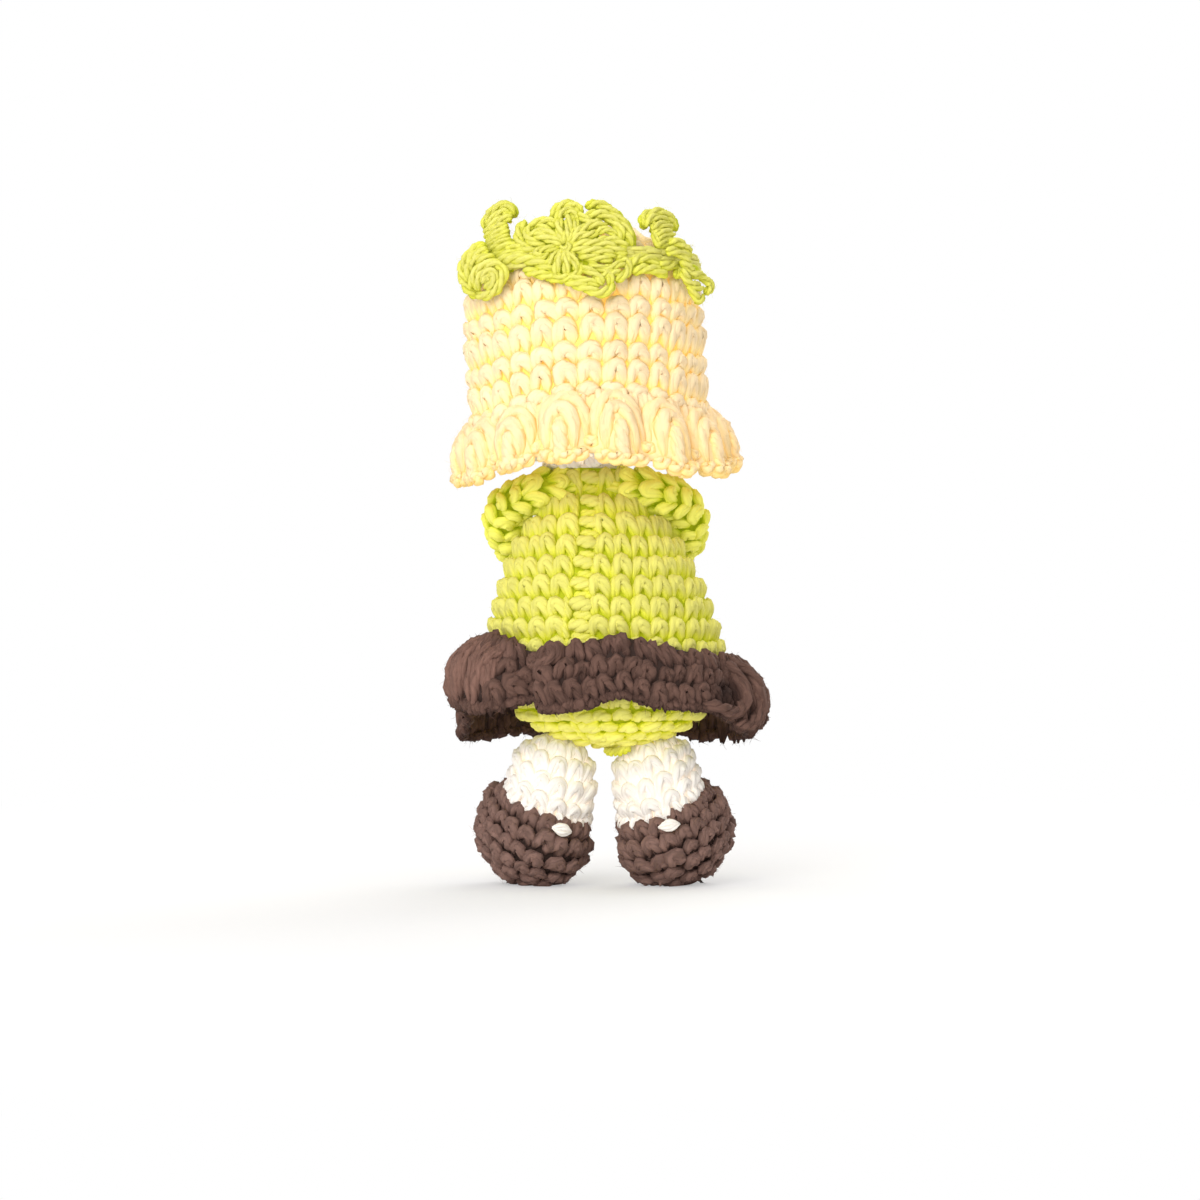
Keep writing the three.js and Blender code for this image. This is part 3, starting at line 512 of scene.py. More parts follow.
# painted shade: a darker copy of the hat's yellow yarn, for the brim that faces down
brimShadedYellow = yarnMaterial("yellowBrimShadedCopy", (246, 206, 118), (250, 217, 146), (249, 220, 174), (250, 204, 96),
                        glowDeep=0.26)
creamYarn = yarnMaterial("creamCottonYarn", (250, 239, 226), (248, 241, 232), (243, 237, 230), (249, 236, 220),
                         glowDeep=0.6, glowTop=0.02)
brownYarn = yarnMaterial("brownWoolYarn", (62, 45, 39), (92, 68, 60), (122, 95, 86), (40, 28, 24), **woolLook)
# painted shade: a darker copy of the shoes' brown wool, for the ruffle
brownShade = yarnMaterial("brownRuffleShadedCopy", (42, 28, 24), (62, 43, 37), (96, 71, 62), (40, 28, 24), **woolLook)
garlandYarn = yarnMaterial("limeGarlandYarn", (182, 190, 30), (212, 211, 72), (217, 212, 112), (170, 180, 28),
                           glowDeep=0.2)
roseThread = yarnMaterial("roseThread", (120, 50, 44), (168, 88, 78), (186, 108, 96), (120, 50, 44))
# painted shade: the layers under the stitches and other dark fillers take these darker, glowing copies of each yarn,
# for the holes between stitches
limeDeep = yarnMaterial("limeUnderStitches", (168, 174, 26), (176, 182, 30), (184, 190, 38), (162, 170, 24),
                        glowTop=0.3)
yellowDeep = yarnMaterial("yellowUnderStitches", (252, 209, 118), (252, 212, 124), (252, 216, 134), (252, 200, 96),
                          glowDeep=0.4, glowTop=0.34)
creamDeep = yarnMaterial("creamUnderStitches", (249, 237, 222), (250, 240, 227), (251, 242, 230), (246, 230, 212),
                         glowTop=0.3)
brownDeep = yarnMaterial("brownUnderStitches", (52, 38, 33), (64, 47, 41), (76, 57, 50), (44, 32, 28))


def plainMaterial(name, light, dark, roughness, scale, amount, coat=0.0):
    material, tree, shader = newMaterial(name, {"Roughness": roughness, "Coat Weight": coat})[:3]
    spot = newNode(tree, "TexCoord")
    noise = newNode(tree, "TexNoise", {"Scale": scale, "Detail": 4})
    ramp = rampOf(tree, fromSrgb(dark), fromSrgb(light))
    bump = newNode(tree, "Bump", {"Strength": amount, "Distance": 0.0003})
    joinUp(tree, (spot, "Object", noise, "Vector"), (noise, "Fac", ramp, "Fac"),
           (ramp, "Color", shader, "Base Color"), (noise, "Fac", bump, "Height"), (bump, "Normal", shader, "Normal"))
    return material


fillCotton = plainMaterial("fibrefillCotton", (244, 242, 236), (224, 220, 210), 0.95, 700, 0.8)
blackPlastic = plainMaterial("blackBead", (16, 15, 15), (7, 7, 8), 0.16, 300, 0.05, 0.4)
clearPlastic = plainMaterial("clearWasher", (226, 228, 226), (212, 214, 212), 0.3, 200, 0.05)
print("materials ready")

# how each fabric is worked
fibre = {"bend": 0.35, "root": 0.1, "shade": 0.8}
cottonFuzz = {**fibre, "count": 3500, "length": (0.6, 1.9), "stand": 0.28, "half": 0.022, "tone": 2}
woolFuzz = {**fibre, "count": 5000, "length": (0.4, 1.5), "stand": 0.34, "half": 0.018, "tone": 8}
woolDown = {**fibre, "count": 3000, "length": (0.7, 1.9), "stand": 0.04, "half": 0.04, "tone": 20}
plainYarn = {"stitchWidth": 4.05, "countBy": 3, "drift": 0.06, "twist": 0.35, "loose": 0.08, "widest": 4.6,
             "squeeze": 0.36, "rough": 0.05, "twoFaced": False}
woolYarn = {"twist": 0.9, "rough": 0.15, "squeeze": 0.32}
plainStitch = {
    "footLeft": 0.38, "headLeft": 0.14, "footRight": 0.39, "headRight": 0.13, "arch": 1.05, "low": -0.16,
    "high": 1.12, "rises": [-1.5, -0.9, 0.0, 0.75, 0.7, -0.1], "footWide": 0.19, "headWide": 0.31, "deep": 1.1,
}
plainLoop = {
    "foot": 0.38, "narrow": 0.09, "low": -0.24, "high": 0.8, "shoulder": 0.65, "rises": [-1.4, -0.6, 0.1, 0.5, 0.55],
    "footWide": 0.22, "headWide": 0.32, "deep": 0.95,
}

# the body, worked in rounds from the bottom with a seam up the back where each round is joined
body = {
    "radius": 23, "bowl": 17.5, "shoulders": 35.1, "taper": 1.5, "lean": 0.075, "leanLevel": 24,
    "neckOpening": 5.5, "rowHeight": 3.93, "firstRow": 48.8, "arch": 0.7, "inset": 1.25, "coreInset": 1.9,
    "seamTurn": 7, "seamDrift": 1.05,  # degrees, and degrees more in each row down
    "rimReach": 8.6, "rimRise": 2.1, "fillInset": 3.4, "lumps": 0.35,
    # painted light: the yarn under the ruffle, in its shadow, is made paler
    "paintedLightBelow": (34, 3, 20),  # under the ruffle: height where the yarn is paler, over how much height, by how much
}
leg = {"ball": 8.2, "ankle": 8.7, "ankleDrop": 7, "splay": 13, "sink": 1, "length": 15, "rowTilt": 11,
       "rowLean": 0.22, "rowHeight": 3.4, "stitchWidth": 3.9, "inset": 0.8, "coreInset": 1.5, "boundary": 17.4,
       "hang": 1.9, "lap": 2.2}


def bodyRadiusAt(height):
    low = np.sqrt(np.clip(1 - ((body["bowl"] - height) / body["bowl"]) ** 2, 0, 1))
    high = np.sqrt(np.clip(1 - (np.clip(height - body["bowl"], 0, None) / body["shoulders"]) ** body["taper"], 0, 1))
    return body["radius"] * np.where(height < body["bowl"], low, high)


hipTuck = body["bowl"] * (1 - math.sqrt(1 - ((hips["left"][0] - standsAt[0]) / body["radius"]) ** 2))
bodyBottom = hips["left"][2] + leg["ball"] - leg["sink"] - hipTuck
bodyRim = body["bowl"] + body["shoulders"] * (1 - (body["neckOpening"] / body["radius"]) ** 2) ** (1 / body["taper"])
bowlHeights = body["bowl"] * (1 - np.cos(np.linspace(0, math.pi / 2, 60)))
shoulderHeights = body["bowl"] + (bodyRim - body["bowl"]) * np.sin(np.linspace(0, math.pi / 2, 90))
bodyHeights = np.concatenate([bowlHeights, shoulderHeights[1:]])
bodyPoints = np.stack([np.maximum(bodyRadiusAt(bodyHeights), 0), bodyHeights], -1)
bodyPoints = bodyPoints[(bodyPoints[:, 0] > body["rimReach"] + 0.6) | (bodyHeights < body["bowl"])]
bodyOutline = outlineOf(np.concatenate([bodyPoints, [[body["rimReach"], bodyRim + body["rimRise"]]]]))


def placeBody(point):
    x, y, z = np.moveaxis(point, -1, 0)
    sideways = x ** 2 / np.maximum(x ** 2 + y ** 2, 1e-6)
    lifted = z - body["arch"] * sideways * np.clip(z / body["bowl"], 0, 1) * np.clip((bodyRim - z) / 6, 0, 1)
    return np.stack([x + body["lean"] * (z - body["leanLevel"]), y, lifted + bodyBottom], -1) + standsAt


bodySurface = turned(bodyOutline, placeBody)


def seamStrands():
    over = straight(-0.78, 1.2, 0.50, 0.24, 0.05, 0.3, 0.36, 1.0)
    over["wide"] = 0.36 * rounded(np.linspace(0, 1, 8), 2.4)
    return [over, straight(-0.62, 0.95, 0.02, 0.12, -0.5, 0.15, 0.24, 0.85),
            straight(0.5, 0.08, -0.1, 1.15, -0.25, 0.1, 0.17, 0.9)]


def bodyCover():
    top = bodyOutline[0][-1]
    heights = np.arange(body["firstRow"], body["bowl"], -body["rowHeight"])
    levels = [top] + list(np.interp(heights, bodyOutline[2], bodyOutline[0]))
    while levels[-1] > 1.5 * body["rowHeight"]:
        levels.append(levels[-1] - body["rowHeight"])
    levels.append(0.6)
    yarn = {**plainYarn, "seamStrands": seamStrands(), "twist": 0.8}
    seam = lambda i: math.radians(body["seamTurn"] + body["seamDrift"] * i)
    parts = workRounds(bodySurface, levels, loopStitch(plainLoop), yarn, body["inset"], seam=seam, flipped=True)
    parts.append(looseFibres(parts, cottonFuzz))
    # painted light: stitches below the ruffle get a paler tone
    height, fade, paler = body["paintedLightBelow"]
    for part in parts:
        part["look"][:, 1] += paler * np.clip((height - part["points"][:, 2]) / fade, 0, 1)
    parts.append(sheetMesh(bodySurface, 72, (0.3, top, 40), -body["coreInset"]))
    buildPiece("bodyCover", parts, [limeYarn, limeDeep], "torso", "lime_cotton", ["body_cover"])
    fill = roughened(sheetMesh(bodySurface, 48, (1, top - 3, 24), -body["fillInset"], colour=0), body["lumps"])
    buildPiece("bodyFilling", [fill], [fillCotton], "torso", "fibrefill", ["body_stuffing"])


bodyCover()

# the yarn's end under the body
tail = {"radius": 0.95, "length": 6.5, "aside": 4.4, "down": 0.1, "ends": 0.35, "points": 16}


def closingTail():
    t = np.linspace(0, 1, tail["points"])
    root = standsAt + [-0.5, 1, bodyBottom - tail["down"]]
    line = root + np.stack([-tail["aside"] * t ** 1.5, tail["length"] * t, 0.5 * t - 0.6 * bow(t)], -1)
    wide = tail["radius"] * rounded(t, 8, tail["ends"])[None]
    parts = [strandMesh(line[None], np.broadcast_to([0.0, 0, 1], (1, *line.shape)), wide, wide, 0.3 + 0 * wide,
                        np.zeros(1), twist=2)]
    buildPiece("closingTail", parts, [limeYarn], "torso", "lime_cotton", ["closing_tail"])


closingTail()

# arms hug the body; a sleeve in the body's yarn and a cream hand
arm = {
    "radius": 4.2, "swell": 0.07, "top": 46.4, "fall": 14.3, "wrap": 63, "sink": 1, "clear": 0.12, "gap": 0.3,
    "cuff": 0.7, "rowHeight": 3.9, "stitchWidth": 4.3, "inset": 1.1, "coreInset": 1.9, "fillInset": 2.4, "reach": 27,
    # where the shoulder starts beside the neck: degrees from the back, reach, height
    "shoulder": [(52, 7.6, 49.8), (68, 10.6, 49.3), (80, 12.6, 48.2)], "tuck": 0.9,
}


def armRadiusAt(share):
    return arm["radius"] * (1 - arm["swell"] * np.cos(share * 8 * math.pi / 3))


def armLine(side):
    share = np.linspace(0, 1, 60)
    height = arm["top"] - arm["fall"] * share
    step = 0.5
    slope = (bodyRadiusAt(height + step) - bodyRadiusAt(height - step)) / (2 * step)
    away = armRadiusAt(share) + arm["gap"] - (arm["sink"] + arm["gap"]) * np.clip(1 - share / arm["clear"], 0, 1)
    length = np.hypot(1, slope)
    reach = bodyRadiusAt(height) + away / length - arm["tuck"] * (1 - share)
    z = height - slope * away / length
    # its first places are those of the shoulder
    start = np.array(arm["shoulder"]).T
    turn = side * np.radians(np.append(start[0], (90 + arm["wrap"] * share)[4:]))
    reach, z = np.append(start[1], reach[4:]), np.append(start[2], z[4:])
    share = np.append(0 * start[0], share[4:])
    points = polar(turn, reach, z + bodyBottom, body["lean"] * (z - body["leanLevel"])) + standsAt
    path = np.concatenate([points, polar(turn, 1, 0.35), armRadiusAt(share)[:, None]], 1)
    path = smoothLine(path[[0, 1, 2] + list(range(8, len(path) - 6, 9)) + [len(path) - 1]], 60)[0]
    return path[:, :3], path[:, 3:6], path[:, 6]


def tubular(line, outward, radius):
    # a surface round a line, with round ends
    at = lengthsAlong(line)
    ahead = unit(np.gradient(line, axis=0))
    out = squaredTo(ahead, outward)
    side = np.cross(ahead, out)

    def surface(turn, level):
        inside = np.clip(level, 0, at[-1])
        beyond = level - inside
        r = np.interp(inside, at, radius)
        bend = np.clip(np.abs(beyond) / r, 0, 1.57)
        spin = (np.cos(turn)[..., None] * sampled(at, out, inside)
                + np.sin(turn)[..., None] * sampled(at, side, inside))
        along = (np.sign(beyond) * r * np.sin(bend))[..., None] * sampled(at, ahead, inside)
        return sampled(at, line, inside) + along + (r * np.cos(bend))[..., None] * spin
    return surface, at[-1], radius[0] * 1.5, radius[-1] * 1.5


def arms(side, word):
    surface, length, before, after = tubular(*armLine(side))
    face = facing(surface)
    cuff = length - (1 - arm["cuff"]) * arm["reach"]
    yarn = {**plainYarn, "stitchWidth": arm["stitchWidth"], "countBy": 1, "loose": 0.11, "drift": 0.35, "widest": 6.0}
    stitch = {**plainLoop, "headWide": 0.32, "footWide": 0.25, "rises": [-0.9, -0.4, 0.2, 0.55, 0.6]}
    # worked from the hand up, so the stitches stand on their heads
    for name, low, high, gap, fine, materials, slotName in (
            ("sleeve", -before, cuff, 0, 22, [sleeveShadedLime, limeDeep], "lime_cotton"),
            ("hand", cuff, length + after, 0.2, 12, [creamYarn, creamDeep], "cream_cotton")):
        levels = np.linspace(low + gap, high, max(int(round((high - low) / arm["rowHeight"])), 2) + 1)
        parts = workRounds(surface, levels, loopStitch(stitch), yarn, arm["inset"], face, flipped=True)
        parts.append(sheetMesh(surface, 24, (low + 1.5 * gap, high, fine), -arm["coreInset"], face))
        buildPiece(name + "." + word, parts, materials, "arm_" + word, slotName, [name + "_" + word])
    fill = sheetMesh(surface, 24, (-before + 2.5, length + after - 2.5, 30), -arm["fillInset"], face, colour=0)
    buildPiece("armFilling." + word, [fill], [fillCotton], "arm_" + word, "fibrefill", ["arm_stuffing_" + word])


for word, side in sides.items():
    arms(side, word)

# legs lean outward, and their rows lean further still
legAngles = np.linspace(0, math.pi / 2, 30)
legPoints = np.stack([leg["ball"] * np.sin(legAngles), leg["ball"] * np.cos(legAngles)], -1)
legOutline = outlineOf([*legPoints, (leg["ankle"], -leg["ankleDrop"]), (leg["ankle"], -leg["length"])])

shoe = {
    "width": 20.6, "length": 27, "height": 21, "spacing": 27.2, "forward": 2, "toeOut": 30, "cut": 0.5,
    "squareness": 2.12, "axisAcross": 0.445, "axisBack": 0.25, "boundary": 53, "rowHeight": 3.45, "stitchWidth": 3.75,
    "inset": 1.4, "coreInset": 2.0, "fillInset": 3, "toeUp": 14, "levelReach": 11.0,
}


def spunBy(angle, x, y):
    return x * math.cos(angle) - y * math.sin(angle), x * math.sin(angle) + y * math.cos(angle)


def legSurfaceOf(side):
    def place(point):
        x, y, z = np.moveaxis(point, -1, 0)
        share = np.clip((leg["ball"] - z) / leg["ball"], 0, 1)
        z = z + share * (side * math.tan(math.radians(leg["rowTilt"])) * x - leg["rowLean"] * y)
        x, z = spunBy(side * math.radians(leg["splay"]), x, z)
        return np.stack([x, y, z], -1) + hips["left" if side > 0 else "right"]
    return turned(legOutline, place)


def shoeSurfaceOf(side):
    centre = standsAt + [side * shoe["spacing"] / 2, -shoe["forward"], shoe["height"] / 2 - shoe["cut"]]
    half = np.array([shoe["width"], shoe["length"], shoe["height"]]) / 2
    ankle = unit(np.array([-side * shoe["axisAcross"], shoe["axisBack"], 1.0]))
    east = unit(np.cross([0, 1.0, 0], ankle))
    north = np.cross(ankle, east)
    power = shoe["squareness"]

    def surface(turn, level):
        bend = (level / shoe["levelReach"])[..., None]
        around = np.cos(turn)[..., None] * north + np.sin(turn)[..., None] * east
        way = -np.cos(bend) * ankle + np.sin(bend) * around
        x, y = spunBy(-side * math.radians(shoe["toeOut"]), way[..., 0], way[..., 1])
        y, z = spunBy(math.radians(shoe["toeUp"]), y, way[..., 2])
        reach = (np.abs(np.stack([x, y, z], -1) / half) ** power).sum(-1) ** (-1 / power)
        return centre + way * reach[..., None]
    return surface, (math.pi - math.radians(shoe["boundary"])) * shoe["levelReach"]


def aboveFloor(parts, height=0.02):
    for part in parts:
        part["points"][:, 2] = np.maximum(part["points"][:, 2], height)
    return parts


def legs(side, word):
    bodyName = "leg_" + word
    surface, top = legSurfaceOf(side), leg["boundary"]
    face = facing(surface)
    yarn = {**plainYarn, "stitchWidth": leg["stitchWidth"], "countBy": 1, "loose": 0.085, "drift": 0.5}
    soft = {**plainLoop, "rises": [-1.0, -0.5, 0.1, 0.45, 0.5], "headWide": 0.32, "footWide": 0.24}
    levels = np.linspace(0.5, top, int(round(top / leg["rowHeight"])) + 1)
    parts = workRounds(surface, levels, loopStitch(soft), yarn, leg["inset"], face, flipped=True)
    hanging = {**soft, "foot": 0.3, "narrow": 0.06, "headWide": 0.23, "footWide": 0.2, "low": 0.1,
               "rises": [-0.4, 0.2, 0.5, 0.3, 0.1]}
    parts += workRounds(surface, [top - leg["lap"], top + leg["hang"]], loopStitch(hanging), yarn, leg["inset"], face)
    parts.append(sheetMesh(surface, 40, (0.4, legOutline[0][-1] - 3, 24), -leg["coreInset"], face))
    buildPiece("leg." + word, parts, [creamYarn, creamDeep], bodyName, "cream_cotton", ["leg_" + word])

    surface, top = shoeSurfaceOf(side)
    face = facing(surface)
    yarn = {**yarn, **woolYarn, "stitchWidth": shoe["stitchWidth"], "loose": 0.13}
    stitch = {**plainLoop, "headWide": 0.34, "footWide": 0.27, "rises": [-0.9, -0.4, 0.2, 0.5, 0.5]}
    levels = np.linspace(0.6, top, int(round(top / shoe["rowHeight"])) + 1)
    parts = workRounds(surface, levels, loopStitch(stitch), yarn, shoe["inset"], face)
    parts += [looseFibres(parts, woolFuzz), looseFibres(parts, woolDown)]
    parts.append(sheetMesh(surface, 40, (0.4, top, 30), -shoe["coreInset"], face))
    buildPiece("shoe." + word, aboveFloor(parts), [brownYarn, brownDeep], bodyName, "brown_wool", ["shoe_" + word])
    fill = sheetMesh(surface, 40, (2, top + 3, 24), -shoe["fillInset"], face, colour=0)
    buildPiece("legFilling." + word, [fill], [fillCotton], bodyName, "fibrefill", ["leg_stuffing_" + word])
    heelStitch(side, word)


heel = {"left": {"across": 8.0, "height": 11.0, "tip": -14, "length": 4.0, "width": 2.6},
        "right": {"across": -12.2, "height": 11.8, "tip": 10, "length": 4.2, "width": 2.4},
        "off": 0.55, "bulge": 0.35, "apart": (0.03, 0.19), "wide": (0.05, 0.24)}


def heelStitch(side, word):
    # a pale diamond on the heel: two short stitches laid over one hole
    look = heel[word]
    surface, top = shoeSurfaceOf(side)
    turn, level = np.meshgrid(np.linspace(0, fullTurn, 240), np.linspace(4, top, 160), indexing="ij")
    points = surface(turn, level) - standsAt
    off = np.abs(points[..., 0] - look["across"]) + np.abs(points[..., 2] - look["height"])
    nearest = np.unravel_index(np.where(points[..., 1] > 0, off, 1e3).argmin(), off.shape)
    centre, out = onSurface(surface, turn[nearest], level[nearest], facing(surface))[:2]
    tip = math.radians(look["tip"])
    across = unit(np.cross([0, 0, 1.0], out))
    long = math.cos(tip) * across + math.sin(tip) * np.cross(out, across)
    short = np.cross(out, long)
    t = np.linspace(0, 1, 10)
    over = (bow(t) ** 1.2)[:, None]
    parts = []
    for way in (-1, 1):
        line = (centre + out * (heel["off"] + heel["bulge"] * over) + long * (t[:, None] - 0.5) * look["length"]
                + short * way * look["width"] * (heel["apart"][0] + heel["apart"][1] * over))
        wide = look["width"] * (heel["wide"][0] + heel["wide"][1] * bow(t) ** 1.1)
        parts.append(strandMesh(line[None], np.broadcast_to(out, line.shape)[None], wide[None], 0.9 * wide[None],
                                np.full((1, 10), 0.8), np.ones(1), twist=0.3))
    buildPiece("heelStitch." + word, parts, [creamYarn], "leg_" + word, "cream_cotton", ["shoe_stitch_" + word])


for word, side in sides.items():
    legs(side, word)

# the ruffle: tall stitches in brown wool on a folded band
ruffle = {
    "length": 11, "gap": 1.3, "stitches": 54, "middle": -0.52, "slant": (0.25, -0.3, 0.2),
    "rows": (-1.0, 3.5, 7.1, 10.6), "rollHalf": 1.25,
    # the fold at the right: degrees and way down of its middle, its size and the painted shade inside it, and degrees
    # and way down of the yarn that rolls round it
    "fold": (-54, 7.6), "foldSize": (8.0, 1.9), "foldPaintedShade": 2.6,
    "rolls": [[(-59, 0.8), (-64, 3.6), (-66, 6.6), (-62, 9.2), (-55, 10.6), (-47, 10.7), (-40, 10.2)],
              [(-63, 0.6), (-70, 3.8), (-72, 7.4), (-67, 10.4), (-58, 11.6)],
              [(31, 1.2), (27, 0.2), (22, 0.6), (20, 2.4), (23, 4.0), (28, 4.0), (30, 2.8), (27, 1.9)]],
    # the last number of each lobe is painted light
    "lobes": [(40, 88, 28), (-100, -66, 8)],  # degrees where long stitches show, and how much paler they are
    # each stop: degrees from the back towards the doll's left, height of the top edge, reach and height where it
    # bends, reach and height of the lower edge, all in millimetres
    "folds": [
        (-172, 39.6, 29.5, 37.0, 29.0, 28.6), (-150, 39.8, 27.0, 35.5, 26.6, 28.4), (-135, 40.0, 29.5, 37.0, 29.5, 28.0),
        (-120, 40.4, 29.0, 36.5, 31.0, 28.3), (-105, 41.2, 29.6, 36.0, 28.4, 29.6), (-92, 41.8, 31.2, 37.2, 29.4, 31.2),
        (-80, 42.2, 31.0, 38.2, 29.2, 30.8), (-69, 42.8, 30.0, 39.6, 29.0, 30.4), (-58, 43.2, 25.4, 40.0, 27.6, 31.8),
        (-47, 43.5, 27.5, 40.5, 27.4, 34.0), (-35, 44.2, 26.6, 40.6, 26.6, 34.6), (-20, 45.2, 26.6, 41.2, 26.2, 35.0),
        (-5, 46.7, 27.2, 42.6, 25.6, 36.9), (8, 45.8, 26.6, 42.0, 25.6, 35.2), (22, 44.9, 29.0, 42.0, 27.6, 34.2),
        (34, 44.0, 24.6, 40.0, 24.8, 35.9), (47, 45.4, 29.2, 43.0, 28.6, 34.8), (61, 46.6, 32.2, 45.0, 30.2, 34.4),
        (76, 46.2, 32.3, 43.6, 29.6, 35.0), (90, 44.6, 29.0, 40.5, 27.2, 33.6), (102, 42.6, 27.5, 37.0, 27.4, 30.6),
        (114, 41.2, 29.5, 36.6, 31.0, 28.6), (128, 40.4, 30.0, 37.0, 30.4, 27.9), (142, 39.9, 26.6, 35.4, 26.2, 29.0),
        (156, 39.7, 29.5, 37.0, 29.5, 28.4), (171, 39.6, 26.8, 35.2, 26.4, 29.2),
    ],
}

def ruffleSurface(turn, level):
    turn, level = np.broadcast_arrays(turn, level)
    stop = roundStop(turn, ruffle["folds"])
    along = level / ruffle["length"]
    first = bodyRadiusAt(stop[..., 0] - bodyBottom) + ruffle["gap"]
    start, bend, end = (1 - along) ** 2, 2 * along * (1 - along), along ** 2
    reach = first * start + stop[..., 1] * bend + stop[..., 3] * end
    height = stop[..., 0] * start + stop[..., 2] * bend + stop[..., 4] * end
    return polar(turn, reach, height, ruffle["middle"]) + standsAt


def ruffleRoot(turn, level):
    # the way from the first row of the ruffle in to the body that it is sewn to
    turn, level = np.broadcast_arrays(turn, level)
    top = roundStop(turn, ruffle["folds"])[..., 0]
    reach = bodyRadiusAt(top - bodyBottom) + ruffle["gap"] - level
    return polar(turn, reach, top - 1.2 - 0.3 * level, ruffle["middle"]) + standsAt


def waistRuffle():
    face = facing(ruffleSurface)
    yarn = {**plainYarn, **woolYarn, "loose": 0.15, "widest": 5.6, "twoFaced": True}
    count, length = ruffle["stitches"], ruffle["length"]
    width = fullTurn / count
    turns = fullTurn * np.arange(count) / count
    degrees = (np.degrees(turns) + 180) % 360 - 180
    inLobe = [(degrees > low) & (degrees < high) for low, high, paler in ruffle["lobes"]]
    chunky = {**plainLoop, "rises": [-0.4, -0.1, 0.2, 0.45, 0.45], "headWide": 0.39, "footWide": 0.35, "foot": 0.35,
              "narrow": 0.05, "deep": 1.1, "low": -0.35}
    parts = []
    for k, slant in enumerate(ruffle["slant"]):
        skip = np.flatnonzero(np.any(inLobe, 0)) if k else ()
        slanted = loopStitch(chunky)
        for strand in slanted:
            strand["across"] = strand["across"] + slant * (strand["up"] - 0.5)
        row = turns + (0.5 * k + chance.normal(0, 0.1, count)) * width
        high, low = ruffle["rows"][k:k + 2]
        parts += workRow(ruffleSurface, slanted, low, high, row, width, yarn, 0, face, skip)
    # the long stitches of the lobes: three posts and a strand across them
    posts = [straight(middle - slant, 2 * slant, -0.08, 1.08, 0, lift, 0.29, 1.0, 12, 6)
             for middle, slant, lift in ((-0.34, 0.16, 0.25), (0.0, -0.1, 0.45), (0.32, -0.18, 0.3))]
    for post in posts:
        post["across"] += 0.06 * np.sin(fullTurn * np.linspace(0, 1, 12))
    posts.append(straight(-0.4, 0.75, 0.15, 0.35, 0.1, 0.75, 0.18, 0.8))
    for here, (low, high, paler) in zip(inLobe, ruffle["lobes"]):
        lobe = workRow(ruffleSurface, posts, 1.0, length + 0.1, turns + 0.4 * width, width, yarn, 0, face,
                       np.flatnonzero(~here))
        # painted light: the lobes' long stitches get a paler tone
        for part in lobe:
            part["look"][:, 1] += paler
        parts += lobe
    t = np.linspace(0, 1, 8)
    hem = [{"across": middle + 0.42 * (t - 0.5), "up": 0.35 + 0.6 * bow(t), "lift": 0.3 * np.cos(fullTurn * t),
            "wide": 0.31 * rounded(t), "deep": 1.0 * rounded(t)} for middle in (-0.26, 0.26)]
    parts += workRow(ruffleSurface, hem, length - 1.5, length + 0.3, turns, width, yarn, 0, face)
    for roll in ruffle["rolls"]:
        degreesAt, level = smoothLine(roll, 26)[0].T[:, None]
        point, out = onSurface(ruffleSurface, np.radians(degreesAt), level, face)[:2]
        t = np.linspace(0, 1, 26)[None]
        lift = ruffle["rollHalf"] * bow(t) ** 0.5
        wide = ruffle["rollHalf"] * rounded(t, 6)
        # painted highlight: the rolled yarn gets a paler tone
        parts.append(strandMesh(point + out * lift[..., None], out, wide, wide, lift - 0.2, np.array([3.0]),
                                twist=2.2, squeeze=0.4, rough=0.15))
    parts += [looseFibres(parts, {**woolFuzz, "count": 8000}), looseFibres(parts, {**woolDown, "count": 5000})]
    # painted shade: the yarn inside the fold is darkened
    middle = ruffleSurface(math.radians(ruffle["fold"][0]), ruffle["fold"][1])
    across, down = ruffle["foldSize"]
    for part in parts:
        far = (part["points"] - middle) / [across / 2, across / 2, down]
        part["look"][:, 0] -= ruffle["foldPaintedShade"] * np.exp(-(far ** 2).sum(-1))
    # painted shade: these bands take the dark under-stitch brown behind the ruffle's stitches and at its root
    parts.append(bandMesh(ruffleSurface, 240, (-0.9, length - 0.2, 9), 0.15))
    parts.append(bandMesh(ruffleRoot, 240, (-0.5, 3.4, 4), 0.25))
    buildPiece("waistRuffle", parts, [brownShade, brownDeep], "torso", "brown_wool", ["waist_ruffle"])


waistRuffle()

# head and hat, measured from the neck
head = {
    "radius": 20.45, "height": 45.2, "chin": 0.9, "opening": 5.3, "rowHeight": 3.9, "stitchWidth": 4.1, "inset": 0.75,
    "coreInset": 1.7, "fillInset": 3.3, "lumps": 0.35,
}
headMiddle = head["chin"] + head["height"] / 2


def placeHead(point):
    x, y, z = np.moveaxis(point, -1, 0)
    x, z = spunBy(-headTip, x, z)
    return np.stack([x, y, z], -1) + neckPivot


headTurns = np.linspace(math.asin(head["opening"] / head["radius"]), math.pi, 120)
headOutline = outlineOf(np.stack([head["radius"] * np.sin(headTurns),
                                  headMiddle - head["height"] / 2 * np.cos(headTurns)], -1))
headSurface = turned(headOutline, placeHead)


def headCover():
    top = headOutline[0][-1]
    levels = np.linspace(0.5, top - 0.5, int(round(top / head["rowHeight"])) + 1)
    yarn = {**plainYarn, "stitchWidth": head["stitchWidth"]}
    parts = workRounds(headSurface, levels, singleStitch(plainStitch), yarn, head["inset"])
    parts.append(sheetMesh(headSurface, 60, (0.2, top - 0.2, 36), -head["coreInset"]))
    buildPiece("headCover", parts, [creamYarn, creamDeep], "head", "cream_cotton", ["head_cover"])
    fill = roughened(sheetMesh(headSurface, 60, (2, top - 2, 30), -head["fillInset"], colour=0), head["lumps"])
    buildPiece("headFilling", [fill], [fillCotton], "head", "fibrefill", ["head_stuffing"])


headCover()

